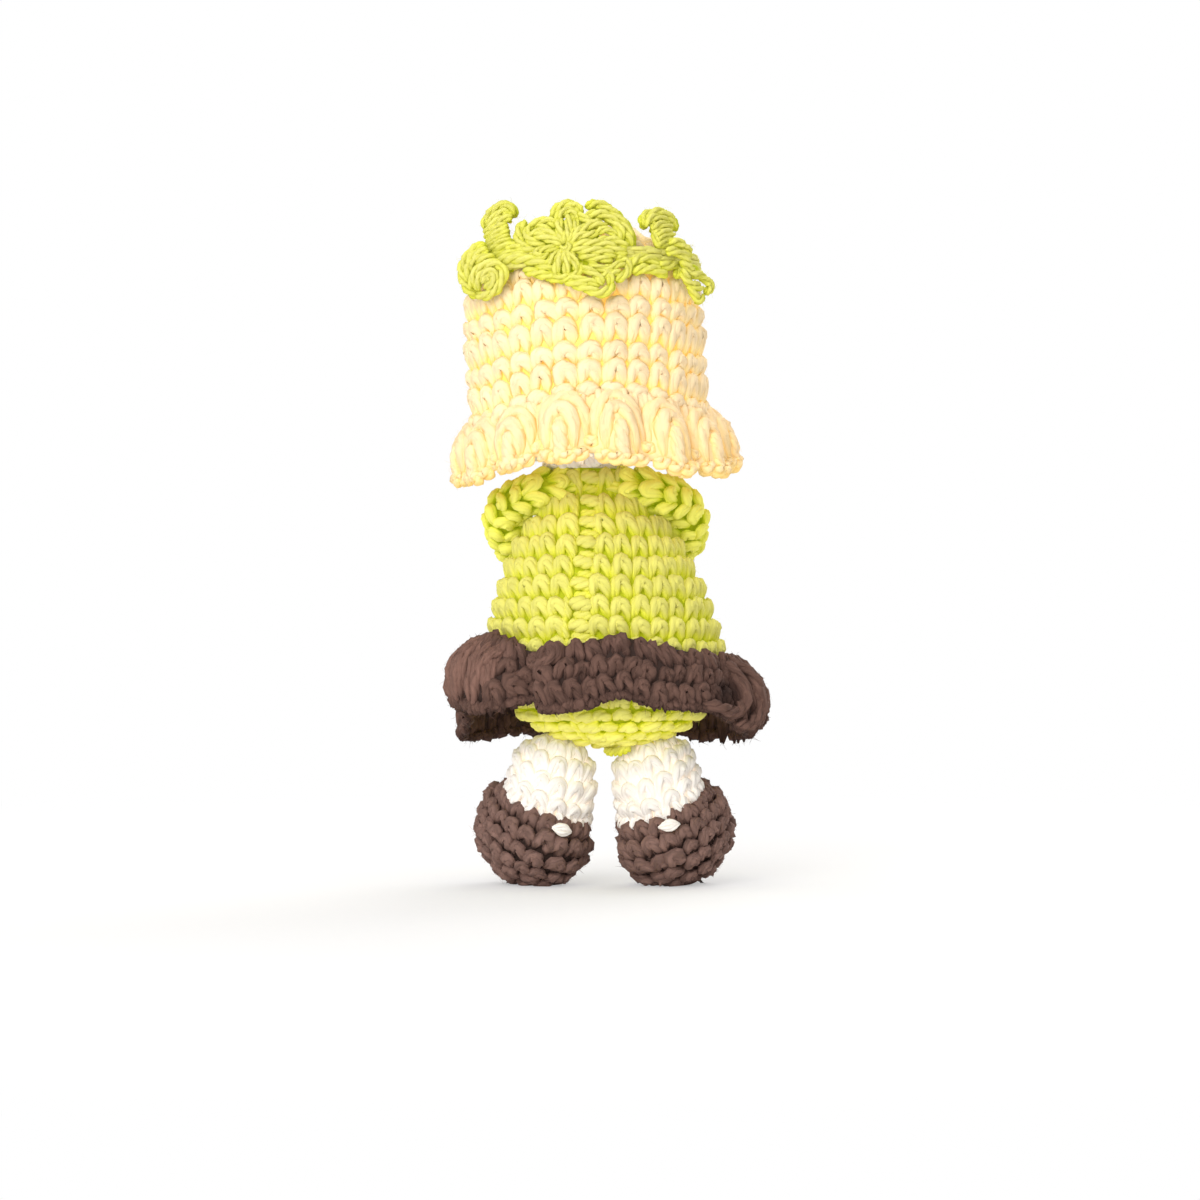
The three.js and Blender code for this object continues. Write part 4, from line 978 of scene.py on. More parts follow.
# the neck's plug of stuffing, with the last round of cream stitches on it
collar = {"reach": 5.2, "height": 1.2, "width": 2.8, "pitch": 3.2, "lumps": 0.1,
          "plug": [(0.2, -4.5), (3.2, -3.3), (4.5, 0), (3.2, 3.3), (0.2, 4.5)]}


def neck():
    fill = roughened(lathed(collar["plug"], placeHead, 20), collar["lumps"])
    buildPiece("neckFilling", [fill], [fillCotton], "neck", "fibrefill", ["neck_stuffing"])
    around = placeHead(polar(np.linspace(0, fullTurn, 120), collar["reach"], collar["height"]))
    outward = around - placeHead(np.array([0, 0, collar["height"]]))
    parts = chainRound(around, outward, collar["width"], collar["pitch"])
    buildPiece("neckCollar", parts, [creamYarn], "neck", "cream_cotton", [])


hat = {
    "fabric": 2.3, "gap": 0.3, "dome": 16, "crown": 34.1, "sideDrop": 7, "frontLift": 6, "firstRow": 1.8,
    "rowHeights": (5.0, 3.25), "stitches": 30, "inset": 1.15, "coreInset": 1.5, "loose": 0.06, "columnLean": 0.02,
}
# low rows and tall rows take turns, and the loops of the tall ones leave a slit between their feet
hatLoops = [
    {"foot": 0.33, "narrow": 0.02, "low": -0.45, "high": 0.62, "shoulder": 0.5,
     "rises": [-0.6, -0.25, 0.1, 0.3, 0.35], "footWide": 0.3, "headWide": 0.31, "deep": 0.85},
    {"foot": 0.31, "narrow": 0.03, "low": -0.3, "high": 0.74, "shoulder": 0.5, "rises": [-0.8, -0.2, 0.15, 0.35, 0.4],
     "footWide": 0.27, "headWide": 0.33, "deep": 0.9},
]
crownRadius = head["radius"] + hat["gap"] + hat["fabric"]
crownTop = head["chin"] + head["height"] + hat["gap"] + hat["fabric"]
domeBase = crownTop - hat["dome"]
brimRoot = crownTop - hat["crown"]


def rowShift(turn):
    return -hat["sideDrop"] * np.sin(turn) ** 2 + hat["frontLift"] * (1 - np.cos(turn)) / 2


def placeCrown(point):
    x, y, z = np.moveaxis(point, -1, 0)
    share = np.clip((crownTop - z) / hat["crown"], 0, 1)
    return placeHead(np.stack([x, y, z + share * rowShift(np.arctan2(x, y))], -1))


domeTurns = np.linspace(0, math.pi / 2, 60)
domePoints = zip(crownRadius * np.cos(domeTurns), domeBase + hat["dome"] * np.sin(domeTurns))
crownOutline = outlineOf([(crownRadius, brimRoot), *domePoints])
crownSurface = turned(crownOutline, placeCrown)


def hatCrown():
    top = crownOutline[0][-1]
    levels = [0.1, hat["firstRow"]]
    while levels[-1] < top - 3:
        levels.append(levels[-1] + hat["rowHeights"][len(levels) % 2])
    levels[-1] = top - 0.6
    yarn = {**plainYarn, "stitchWidth": fullTurn * crownRadius / hat["stitches"], "loose": hat["loose"],
            "widest": 5.4, "squeeze": 0.3, "twist": 0.8}
    parts = []
    for i in range(len(levels) - 1):
        # each row, counted from the brim up, stands a little to the right of the one below it
        parts += workRounds(crownSurface, levels[i:i + 2], loopStitch(hatLoops[i % 2]), yarn, hat["inset"],
                            start=-hat["columnLean"] * i)
    parts.append(looseFibres(parts, cottonFuzz))
    parts.append(sheetMesh(crownSurface, 72, (0.2, top - 0.2, 36), -hat["coreInset"]))
    buildPiece("hatCrown", parts, [yellowYarn, yellowDeep], "hat", "yellow_cotton", ["hat_crown"])


hatCrown()

# the brim: shells of long stitches that fan out from one point
brim = {
    "length": 11, "longerBack": 0.13, "shells": 15, "bulge": 2.9, "flare": 15, "flareRight": 4.5, "turnUp": 90,
    "hang": (-36, 38, 0.28),  # where it hangs lower: degrees of its middle and width, and by what share
    "postWide": 1.55, "deep": 1.2, "scallop": 0.36, "gather": 0.94, "squeeze": 0.27, "twist": 1.1,
    # each loop of a shell: half its width as a share of the shell, its top, how far it stands out
    "domes": [(0.42, 0.9, 0.3), (0.25, 2.9, 0.45), (0.0, 4.8, 0.5)],
    "edgeLoops": 5, "edgeWide": 1.4, "edgeDeep": 1.15, "edgeSpan": 1.35, "edgeRise": 0.55,
}


def brimSurface(turn, level):
    along = level / brim["length"]
    shellShare = np.abs(np.sin(brim["shells"] * turn / 2))
    overFace = ((1 - np.cos(turn)) / 2) ** 5
    angle = np.radians(brim["flare"] - brim["flareRight"] * np.sin(turn) + brim["turnUp"] * overFace)
    angle = angle * np.sqrt(np.clip(along, 1e-6, None))
    out = brim["bulge"] * shellShare * np.sin(math.pi * np.minimum(along, 0.8))
    middle, spread, longer = brim["hang"]
    away = (np.degrees(turn) - middle + 180) % 360 - 180
    level = level * (1 + brim["longerBack"] * np.cos(turn) + longer * np.exp(-(away / spread) ** 2))
    reach = crownRadius - hat["fabric"] / 2 + level * np.sin(angle) + out * np.cos(angle)
    height = brimRoot + 0.9 - level * np.cos(angle) + out * np.sin(angle)
    return placeHead(polar(turn, reach, height + rowShift(turn)))


def hatBrim():
    shells, loops = brim["shells"], brim["edgeLoops"]
    width = fullTurn / shells
    middles = ((np.arange(shells) + 0.5) * width)[:, None]
    face = facing(brimSurface)
    uneven = lambda amount: chance.normal(0, amount, (shells, 1))
    parts = []
    for across, top, lifted in brim["domes"]:
        # a loop of yarn over the one inside it, and one post in the middle
        tone = chance.normal(0, 1, shells)
        t = np.linspace(0, 1, 24 if across else 14)[None]
        over = bow(t) if across else t
        aside = -np.cos(math.pi * t) * across * (brim["gather"] + (1 - brim["gather"]) * (1 - over))
        reach = brim["length"] * (1 - brim["scallop"] * (1 - math.sqrt(1 - min(2 * across, 1) ** 2 * 0.9)))
        reach = (reach - 0.3) * (1 + uneven(0.02))
        turn = middles + width * (aside + uneven(0.02))
        level = reach - (reach - top - uneven(0.25)) * np.clip(over, 0, 1) ** (0.55 if across else 1)
        point, out = onSurface(brimSurface, turn, level, face)[:2]
        lift = lifted * bow(t) ** 0.5 - 0.2 + uneven(0.1)
        wide = brim["postWide"] * rounded(t, 9) * (1 + uneven(0.04))
        deep = brim["deep"] * rounded(t, 9) * np.ones_like(wide)
        parts.append(strandMesh(point + out * lift[..., None], out, wide, deep, lift - 0.1 + 0 * wide, tone,
                                twist=brim["twist"], squeeze=brim["squeeze"], twoFaced=True))
    t = np.linspace(0, 1, 8)[None]
    for j in range(loops + 1):
        # loops over the tops of neighbouring posts make the edge
        u = 2 * j / loops - 1
        tone = chance.normal(0, 1, shells)
        turn = middles + width / 2 * (u + brim["edgeSpan"] / loops * 2 * (t - 0.5))
        reach = brim["length"] * (0.93 - brim["scallop"] * (1 - math.sqrt(max(1 - (0.95 * u) ** 2, 0))))
        level = reach + brim["edgeRise"] * bow(t) + 0.25 * (t - 0.5) + uneven(0.12)
        point, out = onSurface(brimSurface, turn, level, face)[:2]
        lift = 0.3 * np.cos(fullTurn * t) + uneven(0.1)
        wide = brim["edgeWide"] * rounded(t) * np.ones((shells, 1))
        # painted shade: the edge loops are set lower on the colour ramp, darker where the brim faces down
        parts.append(strandMesh(point + out * lift[..., None], out, wide, brim["edgeDeep"] * wide, lift - 0.5, tone,
                                twist=0.3, twoFaced=True))
    # plain stitches at the root of the brim
    roots = (np.arange(2 * shells) + 0.5) * width / 2
    yarn = {**plainYarn, "loose": 0.1, "twoFaced": True}
    parts += workRow(brimSurface, singleStitch(plainStitch), 3.6, 0.1, roots, width / 2, yarn, 0.6, face)
    parts.append(looseFibres(parts, cottonFuzz))
    parts.append(bandMesh(brimSurface, 180, (0.1, brim["length"] * 0.88, 10), 0.3, colour=0, depth=0.5))
    buildPiece("hatBrim", parts, [brimShadedYellow, yellowDeep], "hat", "yellow_cotton", ["hat_brim"])


hatBrim()

# garland: a chained cord round the crown with a flower and four leaves
garland = {
    "drop": 8.8, "cord": 1.5, "linkPitch": 3.1, "linkWidth": 3.2, "lean": 0.47, "under": 1.0, "plies": 3,
    "twist": 0.14, "backLift": -0.9, "backFrom": 44.5, "close": 1.1, "squeeze": 0.5, "rough": 0.09,
    # loose fibres, and the cores: middle across and up, half the size, half the thickness
    "fibres": {"cord": 1400, "flower": 1600, "leaf": 450},
    "cores": {"flower": ((3.0, 41.8), (7.4, 5.6), 0.9),
              "leafUp.left": ((15.3, 48.6), (1.7, 2.4), 0.6), "leafUp.right": ((-15.9, 46.2), (1.7, 2.4), 0.6),
              "leafDown.left": ((18.6, 38.6), (1.4, 1.4), 0.9), "leafDown.right": ((-20.9, 36.9), (1.4, 1.4), 0.9)},
}
# the yarn laid at the back of the hat: half thickness, how far it stands out, and its places across and up from
# the neck
laid = {
    "leafUp.left": [
        (1.00, 1.6, [(17.4, 47.5), (17.1, 48.9), (15.8, 50.4), (13.9, 51.4), (12.4, 50.8), (11.9, 49.2)]),
        (0.85, 2.2, [(17.0, 47.9), (15.6, 49.1), (13.6, 50.1), (12.6, 49.4)]),
        (0.85, 2.4, [(16.8, 47.3), (15.0, 48.3), (13.1, 48.8), (12.1, 48.6)]),
        (0.85, 2.2, [(17.3, 46.6), (15.4, 47.2), (13.0, 47.5)]),
        (0.85, 2.0, [(17.3, 45.6), (15.3, 46.2), (12.9, 46.4)]),
        (0.85, 1.8, [(17.2, 44.7), (15.2, 45.3), (12.8, 45.3)]),
        (0.90, 1.6, [(17.1, 43.8), (15.0, 44.3), (12.3, 44.2)]),
        (0.90, 1.5, [(16.8, 43.0), (14.6, 43.4), (11.8, 43.2)]),
    ],
    "leafUp.right": [
        (1.00, 1.6, [(-11.8, 45.9), (-12.4, 47.5), (-14.3, 48.3), (-16.1, 48.2), (-17.6, 46.9), (-18.0, 45.2)]),
        (0.85, 2.2, [(-12.2, 45.5), (-13.3, 46.9), (-15.2, 47.2), (-17.0, 46.3)]),
        (0.85, 2.4, [(-13.5, 45.0), (-15.4, 45.8), (-17.5, 45.4)]),
        (0.85, 2.3, [(-13.9, 43.9), (-15.6, 44.5), (-17.8, 44.1)]),
        (0.85, 2.1, [(-14.1, 42.8), (-15.9, 43.4), (-17.8, 42.9)]),
        (0.85, 1.9, [(-14.3, 41.7), (-15.9, 42.2), (-17.6, 41.9)]),
        (0.77, 1.9, [(-14.0, 46.7), (-14.1, 44.8), (-14.3, 43.2), (-14.8, 41.3)]),
    ],
    "leafDown.left": [
        (1.08, 1.5, [(17.2, 44.1), (19.3, 43.3), (21.1, 41.7), (22.0, 39.7), (21.7, 37.5), (20.7, 35.6), (19.5, 34.5)]),
        (1.00, 2.4, [(19.5, 34.9), (18.0, 34.3), (16.1, 35.0), (14.8, 36.5), (14.1, 38.3), (14.6, 39.6)]),
        (1.00, 2.6, [(20.2, 36.2), (19.9, 38.0), (18.8, 39.4), (17.0, 40.0), (15.2, 39.9), (14.3, 38.9)]),
        (0.89, 3.2, [(19.2, 35.5), (18.9, 37.3), (17.7, 38.5), (16.3, 38.6), (15.8, 37.5), (16.5, 36.3), (17.8, 35.7)]),
        (0.70, 3.4, [(18.0, 36.7), (17.6, 37.4), (16.9, 37.5), (16.7, 36.9)]),
        (0.93, 1.8, [(20.7, 40.3), (20.0, 41.8), (18.4, 42.6), (16.9, 42.8)]),
        (1.00, 2.0, [(21.0, 38.1), (20.6, 39.9), (19.4, 41.1), (17.6, 41.5), (15.7, 41.3)]),
    ],
    "leafDown.right": [
        (0.97, 1.8, [(-16.7, 42.0), (-18.2, 42.2), (-19.7, 41.2), (-20.6, 39.9)]),
        (0.97, 2.2, [(-16.0, 40.5), (-17.8, 40.4), (-19.3, 39.7), (-20.2, 38.4)]),
        (0.93, 2.2, [(-18.7, 38.8), (-19.8, 37.8), (-20.7, 36.5), (-22.5, 36.1)]),
        (0.97, 2.2, [(-18.9, 37.2), (-19.4, 35.6), (-20.6, 34.3), (-22.4, 33.6)]),
        (0.93, 1.8, [(-21.0, 36.2), (-22.8, 35.7), (-24.1, 34.1), (-22.9, 32.6)]),
        (0.89, 1.8, [(-19.9, 34.3), (-20.8, 32.7), (-21.6, 31.3), (-22.6, 32.3)]),
    ],
    "cord": [
        (0.93, 1.3, [(16.3, 42.8), (12.9, 43.3), (10.2, 42.4), (7.2, 41.3)]),
        (0.93, 1.0, [(16.7, 41.9), (13.3, 42.0), (10.2, 41.4), (7.5, 40.5)]),
        (1.16, 1.4, [(16.5, 39.9), (13.4, 40.8), (9.7, 40.3), (6.7, 38.9), (4.0, 37.3)]),
        (1.00, 1.0, [(10.4, 38.3), (7.7, 37.4), (5.3, 36.5), (2.9, 35.7)]),
        (1.00, 1.5, [(-8.6, 37.9), (-10.8, 39.2), (-13.0, 39.2), (-14.4, 38.0)]),
        (1.00, 1.3, [(-9.4, 36.7), (-11.6, 37.3), (-13.8, 37.1), (-15.9, 36.1)]),
        (0.97, 1.7, [(-14.2, 38.3), (-16.0, 37.9), (-17.9, 38.4), (-18.4, 37.2), (-17.4, 35.7)]),
    ],
    "flower": [
        (1.00, 1.4, [(9.6, 47.8), (10.7, 46.5), (11.1, 45.0), (10.6, 43.4), (9.3, 42.2), (7.2, 41.3)]),
        (0.85, 2.0, [(8.4, 46.9), (9.4, 45.8), (9.3, 44.4), (8.0, 43.2), (6.2, 42.4)]),
        (0.93, 1.8, [(8.7, 46.7), (6.8, 47.3), (5.0, 47.2), (4.1, 46.1)]),
        (0.77, 2.4, [(9.1, 44.7), (7.2, 45.4), (5.7, 44.8)]),
        (0.85, 2.4, [(3.1, 42.5), (4.6, 44.1), (6.0, 45.6), (7.5, 46.4)]),
        (0.85, 2.6, [(3.3, 42.2), (4.9, 43.4), (6.4, 44.2), (8.2, 44.8)]),
        (0.85, 2.0, [(3.5, 41.7), (5.3, 42.0), (6.8, 41.9), (8.1, 41.2), (6.9, 40.4), (5.4, 41.1)]),
        (1.00, 1.4, [(4.6, 48.1), (3.6, 49.6), (1.7, 50.3), (-0.1, 49.6), (-0.5, 48.1)]),
        (0.85, 2.0, [(3.8, 47.1), (3.1, 48.5), (1.5, 49.0), (0.5, 48.2), (0.4, 46.6)]),
        (0.85, 2.4, [(2.9, 42.6), (3.3, 44.3), (3.5, 46.0), (3.1, 47.4)]),
        (0.85, 2.6, [(2.5, 42.7), (2.1, 44.4), (1.7, 46.1), (1.7, 47.9)]),
        (0.77, 2.3, [(2.2, 42.7), (1.0, 44.2), (0.5, 45.7), (0.2, 47.2)]),
        (1.04, 1.4, [(-1.6, 49.6), (-3.5, 50.1), (-5.3, 49.3), (-7.0, 47.7), (-8.5, 45.8), (-9.3, 43.6), (-9.3, 41.4)]),
        (0.97, 2.0, [(-1.2, 47.4), (-3.1, 48.1), (-5.2, 47.7), (-6.9, 46.2), (-7.8, 44.3), (-7.3, 42.5)]),
        (0.85, 2.5, [(1.9, 42.7), (-0.0, 43.8), (-1.9, 44.0), (-3.5, 44.4)]),
        (0.85, 2.4, [(1.9, 43.0), (0.2, 44.6), (-1.7, 45.7), (-3.6, 46.1), (-5.4, 45.3)]),
        (0.85, 2.2, [(-0.3, 48.1), (-1.5, 47.1), (-2.7, 46.3), (-4.5, 46.3)]),
        (0.77, 2.3, [(-3.1, 44.2), (-4.7, 44.9), (-6.2, 44.5), (-7.1, 43.4)]),
        (0.93, 2.4, [(1.9, 41.8), (-0.3, 42.3), (-2.7, 42.4), (-5.2, 42.0), (-6.9, 40.9), (-8.7, 40.2)]),
        (0.85, 2.6, [(1.6, 41.5), (-0.5, 41.2), (-2.6, 41.0), (-4.8, 40.6), (-6.6, 39.7)]),
        (0.85, 2.0, [(-3.0, 42.4), (-5.2, 43.0), (-7.3, 42.5), (-8.8, 41.4)]),
        (0.85, 2.2, [(0.2, 40.1), (-1.9, 39.7), (-4.1, 39.4), (-5.9, 38.9)]),
        (0.93, 1.8, [(-6.5, 39.1), (-8.4, 39.0), (-8.7, 37.4), (-7.9, 36.0), (-6.3, 35.1)]),
        (0.85, 2.3, [(2.9, 41.5), (4.5, 40.4), (5.4, 39.5), (6.0, 38.7)]),
        (0.85, 2.5, [(2.6, 41.4), (3.6, 39.7), (4.3, 38.2), (4.5, 37.0)]),
        (0.85, 2.6, [(2.3, 41.4), (2.4, 39.7), (2.5, 38.1), (2.7, 36.8)]),
        (0.85, 2.4, [(2.1, 41.3), (1.3, 39.8), (0.8, 38.3), (0.8, 37.3)]),
        (0.85, 1.8, [(5.3, 37.4), (3.8, 36.2), (2.0, 36.3), (0.4, 37.1), (-0.2, 38.6)]),
        (0.97, 1.6, [(2.9, 35.7), (1.1, 34.8), (-1.0, 33.9), (-2.8, 32.9), (-4.6, 33.2), (-5.9, 34.5)]),
        (0.85, 2.0, [(2.2, 36.6), (0.5, 35.6), (-1.7, 35.1), (-3.1, 34.1)]),
        (0.85, 2.2, [(-0.3, 38.0), (-1.8, 37.0), (-3.2, 35.9), (-3.8, 34.4)]),
        (0.77, 2.2, [(-4.0, 37.4), (-5.5, 37.6), (-7.1, 38.2), (-8.3, 38.1)]),
        (0.77, 2.2, [(-3.2, 35.6), (-4.5, 36.2), (-6.1, 36.7), (-7.3, 36.6)]),
        (0.85, 2.0, [(-1.6, 38.5), (-3.1, 37.8), (-4.5, 37.1), (-5.4, 35.8), (-5.0, 34.3)]),
        (0.62, 3.0, [(3.3, 42.0), (2.6, 41.4), (1.9, 41.9), (2.3, 42.4)]),
    ],
}
cordHeight = crownTop - garland["drop"]


def besideCrown(height, distance):
    rise = max(height - domeBase, 0)
    radius = crownRadius * math.sqrt(1 - (rise / hat["dome"]) ** 2)
    normal = unit(np.array([radius / crownRadius ** 2, rise / hat["dome"] ** 2]))
    return radius + normal[0] * distance, height + normal[1] * distance


cordReach, cordLevel = besideCrown(cordHeight, garland["cord"] + hat["gap"] - garland["close"])


def hatBehind(x, z):
    # how far back the hat and its leaning garland reach at a place seen from behind
    turn = np.arcsin(np.clip(x / crownRadius, -1, 1))
    height = z - np.clip((crownTop - z) / hat["crown"], 0, 1) * rowShift(turn)
    rise = np.clip(height - domeBase, 0, hat["dome"])
    radius = crownRadius * np.sqrt(np.clip(1 - (rise / hat["dome"]) ** 2, 0, 1))
    crownBack = np.sqrt(np.clip(radius ** 2 - x ** 2, 0, None))
    ringBack = np.sqrt(np.clip(cordReach ** 2 - x ** 2, 9, None))
    leaning = ringBack + garland["close"] - garland["lean"] * (z - cordLevel) - garland["under"]
    return np.maximum(crownBack + 0.2, leaning)


def besideHat(x, z):
    # the leaves that hang beside the hat lie in a plane of their own
    return np.maximum(hatBehind(x, z), 15.5 - 0.8 * (np.abs(x) - 17))


def laidYarn(strands, behind, backToo=None):
    parts = []
    for half, lift, places in strands:
        line, length = smoothLine(places, max(8, 5 * len(places)))
        count = len(line)
        t = np.linspace(0, 1, count)
        ends = np.abs(2 * t - 1)
        wide = half * rounded(t, 7, 0.35)[None]
        for way in (1, -1) if backToo is not None and line[:, 1].mean() > backToo else (1,):
            rise = (lift if way > 0 else garland["backLift"] - 0.4 * lift) - way * 0.8 * ends ** 5
            x, z = line[:, 0] + (way < 0) * chance.normal(0, 0.3), line[:, 1]
            spots = placeHead(np.stack([x, behind(x, z) + rise, z], -1))
            out = unit(np.stack([0.5 * x / crownRadius, np.ones(count), np.full(count, 0.35)], -1))
            # painted shade: the ends of each strand, and strands that lie low, take darker colours
            high = (-0.2 - 0.9 * ends ** 4 + 0.3 * (lift - 2))[None]
            parts.append(strandMesh(spots[None], way * out[None], wide, 1.05 * wide, high, chance.normal(0, 1, 1),
                                    plies=garland["plies"], twist=garland["twist"] * length,
                                    squeeze=garland["squeeze"], rough=garland["rough"]))
    return parts


def coreOf(middle, size, thickness, behind):
    # a flat closed core that fills a leaf or a flower behind its yarn, in a darker copy of the yarn: painted shade
    angles = turnsRound(28)
    rings = []
    for share, level in ((0.15, -1), (0.8, -0.8), (1, 0), (0.8, 0.8), (0.15, 1)):
        x = middle[0] + size[0] * share * np.cos(angles)
        z = middle[1] + size[1] * share * np.sin(angles)
        rings.append(placeHead(np.stack([x, behind(x, z) + 0.4 + thickness * level, z], -1)))
    index = np.arange(len(rings) * len(angles)).reshape(len(rings), -1)
    beside = np.roll(index, -1, axis=1)
    quads = np.stack([index[:-1], index[1:], beside[1:], beside[:-1]], -1).reshape(-1, 4)
    return plainPart(np.stack(rings), [quads, index[:1], index[-1:, ::-1]], 1, -1.2)


def garlandPiece(name, kind, replaced, behind, parts=(), backToo=None):
    parts = [*parts, *laidYarn(laid[name], behind, backToo)]
    parts.append(looseFibres(parts, {**cottonFuzz, "count": garland["fibres"][kind]}))
    looks = [garlandYarn]
    if name in garland["cores"]:
        parts.append(coreOf(*garland["cores"][name], behind))
        looks.append(limeDeep)
    pieceName = {"cord": "garlandCord", "flower": "garlandFlower"}.get(name, name)
    buildPiece(pieceName, parts, looks, "hat", "lime_cotton", [replaced])


def garlandPieces():
    line = placeCrown(polar(np.linspace(0, fullTurn, 240), cordReach, cordLevel))
    outward = line - placeHead(np.array([0, 0, cordLevel - 6]))
    links = chainRound(line, outward, garland["linkWidth"], garland["linkPitch"])
    garlandPiece("cord", "cord", "garland_cord", hatBehind, links)
    garlandPiece("flower", "flower", "garland_flower", hatBehind, backToo=garland["backFrom"])
    for word in sides:
        garlandPiece("leafUp." + word, "leaf", "leaf_up_" + word, hatBehind, backToo=0)
        garlandPiece("leafDown." + word, "leaf", "leaf_down_" + word, besideHat)


garlandPieces()
neck()

# face: bead eyes on washers and a small stitched mouth
face = {
    "eyeRadius": 2.1, "eyeDome": 1.6, "eyeRim": 0.2, "stand": 0.4, "belowHat": 6.1, "spread": 21, "stem": 0.8,
    "stemEnd": -4.7, "washer": 2.8, "washerHole": 1.0, "washerThickness": 1, "washerTop": -3.1,
    "mouthBelow": 5.1, "mouthSpread": 8, "smile": 1.2, "mouthRadius": 0.45,
}
eyeHeight = brimRoot + hat["frontLift"] - face["belowHat"]


def onFace(height, turn):
    # a frame on the head, at a height and a turn from the front
    level = (height - headMiddle) / (head["height"] / 2)
    angle = math.radians(turn)
    around = np.array([math.sin(angle), -math.cos(angle)]) * head["radius"] * math.sqrt(1 - level ** 2)
    out = unit(np.array([*(around / head["radius"] ** 2), level / (head["height"] / 2)]))
    east = unit(np.cross([0, 0, 1.0], out))
    return np.array([*around, height]), np.stack([east, np.cross(out, east), out])


def eyes(side, word):
    spot, axes = onFace(eyeHeight, side * face["spread"])
    place = lambda point: placeHead(point @ axes + spot)
    radius, stand, rim = face["eyeRadius"], face["stand"], face["stand"] + face["eyeRim"]
    outline = [(0.1, face["stemEnd"]), (face["stem"], face["stemEnd"]), (face["stem"], stand), (radius * 0.93, stand),
               (radius, stand + 0.08), (radius, rim)]
    for angle in np.linspace(0, math.pi / 2, 12)[1:-1]:
        outline.append((radius * math.cos(angle), rim + face["eyeDome"] * math.sin(angle)))
    outline.append((0.08, rim + face["eyeDome"]))
    buildPiece("eye." + word, [lathed(outline, place, 32)], [blackPlastic], "head", "black_bead", ["eye_" + word])
    high, wide, hole = face["washerTop"], face["washer"], face["washerHole"]
    low = high - face["washerThickness"]
    ring = [(hole, low), (wide - 0.1, low), (wide, low + 0.1), (wide, high - 0.1), (wide - 0.1, high), (hole, high)]
    buildPiece("eyeWasher." + word, [lathed(ring, place, 32, hollow=True)], [clearPlastic], "head", "clear_washer",
               ["eye_washer_" + word])


for word, side in sides.items():
    eyes(side, word)


def mouth():
    share = np.linspace(-1, 1, 20)
    spots = []
    for s in share:
        spot, axes = onFace(eyeHeight - face["mouthBelow"] + face["smile"] * s ** 2, face["mouthSpread"] * s)
        spots.append(spot + axes[2] * (0.55 + 0.15 * math.cos(1.5 * s)))
    line = placeHead(np.array(spots))
    out = unit(line - placeHead(np.array([0, 0, eyeHeight])))
    wide = face["mouthRadius"] * rounded((share + 1) / 2, 8)[None]
    parts = [strandMesh(line[None], out[None], wide, wide, np.full((1, 20), 0.5), np.zeros(1), twist=2.5)]
    buildPiece("mouthStitch", parts, [roseThread], "head", "rose_thread", ["mouth_stitch"])


mouth()

# stage, lamps and camera
stage = {
    "eyeHeight": 54.15, "across": 228, "distance": 700, "aside": 0.76,  # millimetres, at the doll's own plane
    "skyLevel": 0.58, "skyColour": (1, 0.99, 0.975, 1), "whiteFrom": 0.1, "whiteTo": 0.32, "paperWhite": 0.4,
    "paperGrain": 600, "paperDark": (0.80, 0.79, 0.78, 1), "paperLight": (0.84, 0.83, 0.82, 1), "floorReach": 4.0,
    "sensor": 36, "aim": (0, 0, 0.06),
    # each lamp's name, place and size in metres, and power
    "lamps": [("softBehindCamera", (0.35, 0.95, 0.42), 0.8, 8.6), ("softFront", (-0.4, -0.8, 0.55), 0.9, 7),
              ("softOverhead", (0.1, 0.1, 1.1), 0.9, 3)],
}


def placeLamp(name, place, size, power):
    data = bpy.data.lights.new(name, "AREA")
    data.shape = "DISK"
    data.size = size
    data.energy = power
    lamp = addObject(name, data)
    way = Vector(stage["aim"]) - Vector(place)
    lamp.matrix_world = Matrix.Translation(place) @ way.to_track_quat("-Z", "Y").to_matrix().to_4x4()


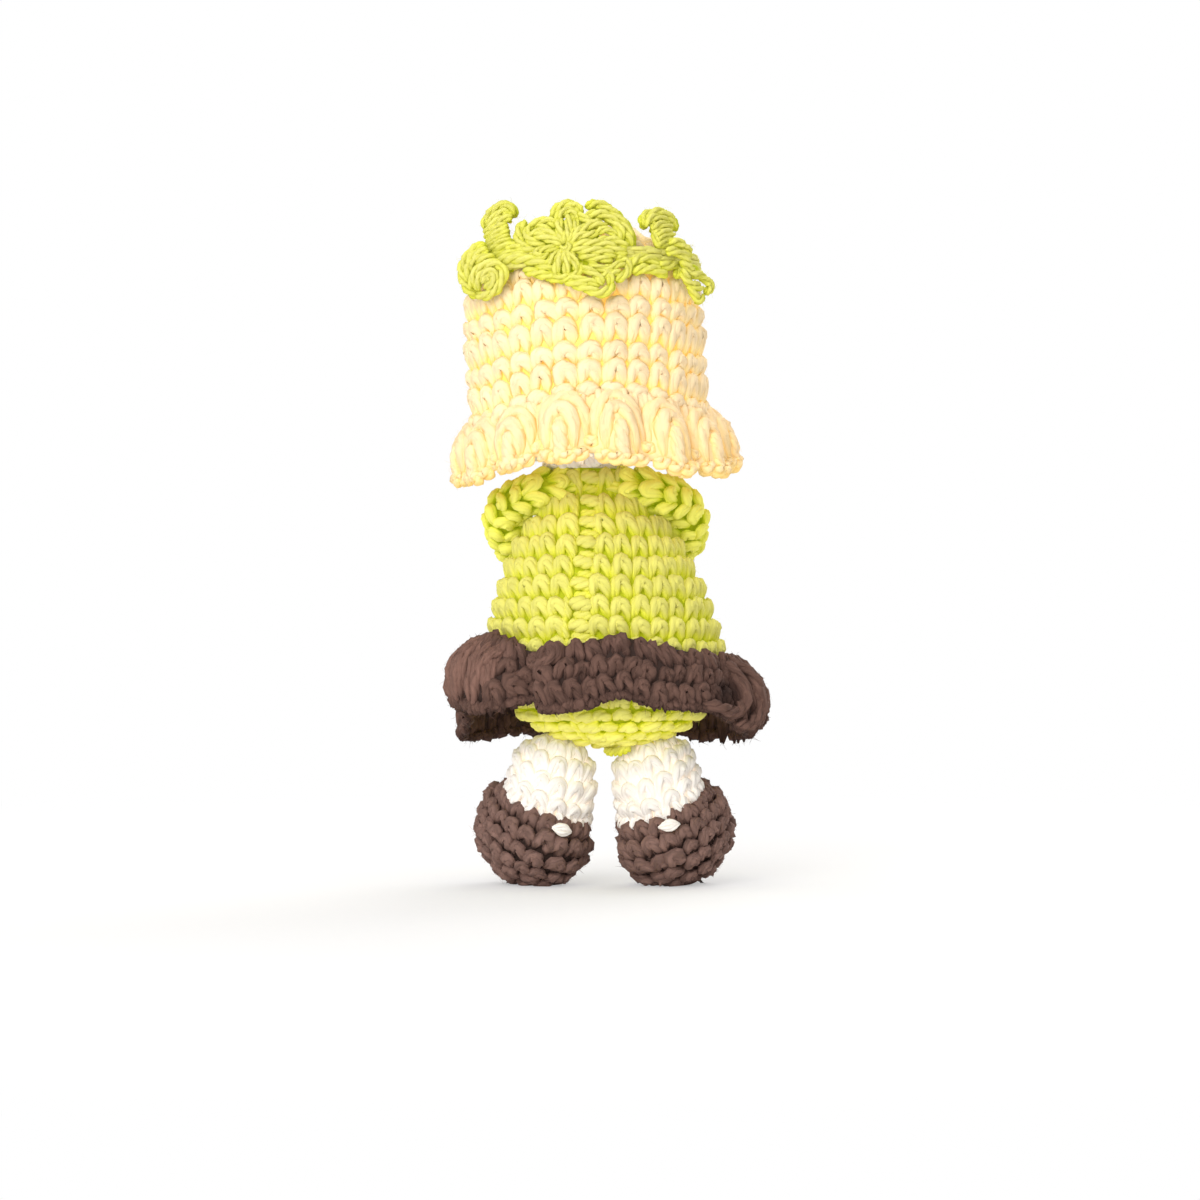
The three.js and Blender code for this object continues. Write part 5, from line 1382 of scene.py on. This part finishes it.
def whiteRoom():
    world = bpy.data.worlds.new("paleRoom")
    bpy.context.scene.world = world
    world.use_nodes = True
    tree = world.node_tree
    tree.nodes.clear()
    soft = newNode(tree, "Background", {"Color": stage["skyColour"], "Strength": stage["skyLevel"]})
    seen = newNode(tree, "Background", {"Color": (1, 1, 1, 1), "Strength": 1})
    rays = newNode(tree, "LightPath")
    mix = newNode(tree, "MixShader")
    output = newNode(tree, "OutputWorld")
    joinUp(tree, (rays, "Is Camera Ray", mix, "Fac"), (soft, "Background", mix, 1), (seen, "Background", mix, 2),
           (mix, "Shader", output, "Surface"))


def paleFloor():
    mesh = bpy.data.meshes.new("paleFloor")
    far = stage["floorReach"]
    mesh.from_pydata([(-far, -far, 0), (far, -far, 0), (far, far, 0), (-far, far, 0)], [], [(0, 1, 2, 3)])
    floor = addObject("paleFloor", mesh)
    material, tree, shader, output = newMaterial("palePaper", {"Roughness": 1})
    # seen by the camera, the paper fades to plain white away from the doll
    spot = newNode(tree, "TexCoord")
    away = newNode(tree, "VectorMath", operation="LENGTH")
    fade = newNode(tree, "MapRange", {"From Min": stage["whiteFrom"], "From Max": stage["whiteTo"],
                                      "To Min": stage["paperWhite"]}, interpolation_type="SMOOTHSTEP")
    rays = newNode(tree, "LightPath")
    seen = newNode(tree, "Math", operation="MULTIPLY")
    white = newNode(tree, "Emission")
    mix = newNode(tree, "MixShader")
    grain = newNode(tree, "TexNoise", {"Scale": stage["paperGrain"]})
    tint = rampOf(tree, stage["paperDark"], stage["paperLight"])
    joinUp(tree, (spot, "Object", grain, "Vector"), (grain, "Fac", tint, "Fac"),
           (tint, "Color", shader, "Base Color"), (spot, "Object", away, 0), (away, "Value", fade, "Value"),
           (fade, "Result", seen, 0), (rays, "Is Camera Ray", seen, 1), (seen, "Value", mix, "Fac"),
           (shader, "BSDF", mix, 1), (white, "Emission", mix, 2), (mix, "Shader", output, "Surface"))
    mesh.materials.append(material)


def setCamera():
    data = bpy.data.cameras.new("photoCamera")
    data.sensor_width = stage["sensor"]
    data.lens = stage["sensor"] * stage["distance"] / stage["across"]
    data.clip_end = 20
    camera = addObject("photoCamera", data)
    place = standsAt + [stage["aside"], stage["distance"], stage["eyeHeight"]]
    camera.location = (place / 1000).tolist()
    camera.rotation_euler = (math.pi / 2, 0, math.pi)
    bpy.context.scene.camera = camera


whiteRoom()
paleFloor()
for lampLook in stage["lamps"]:
    placeLamp(*lampLook)
setCamera()
bpy.context.scene.view_settings.view_transform = "Standard"
print("stage ready")
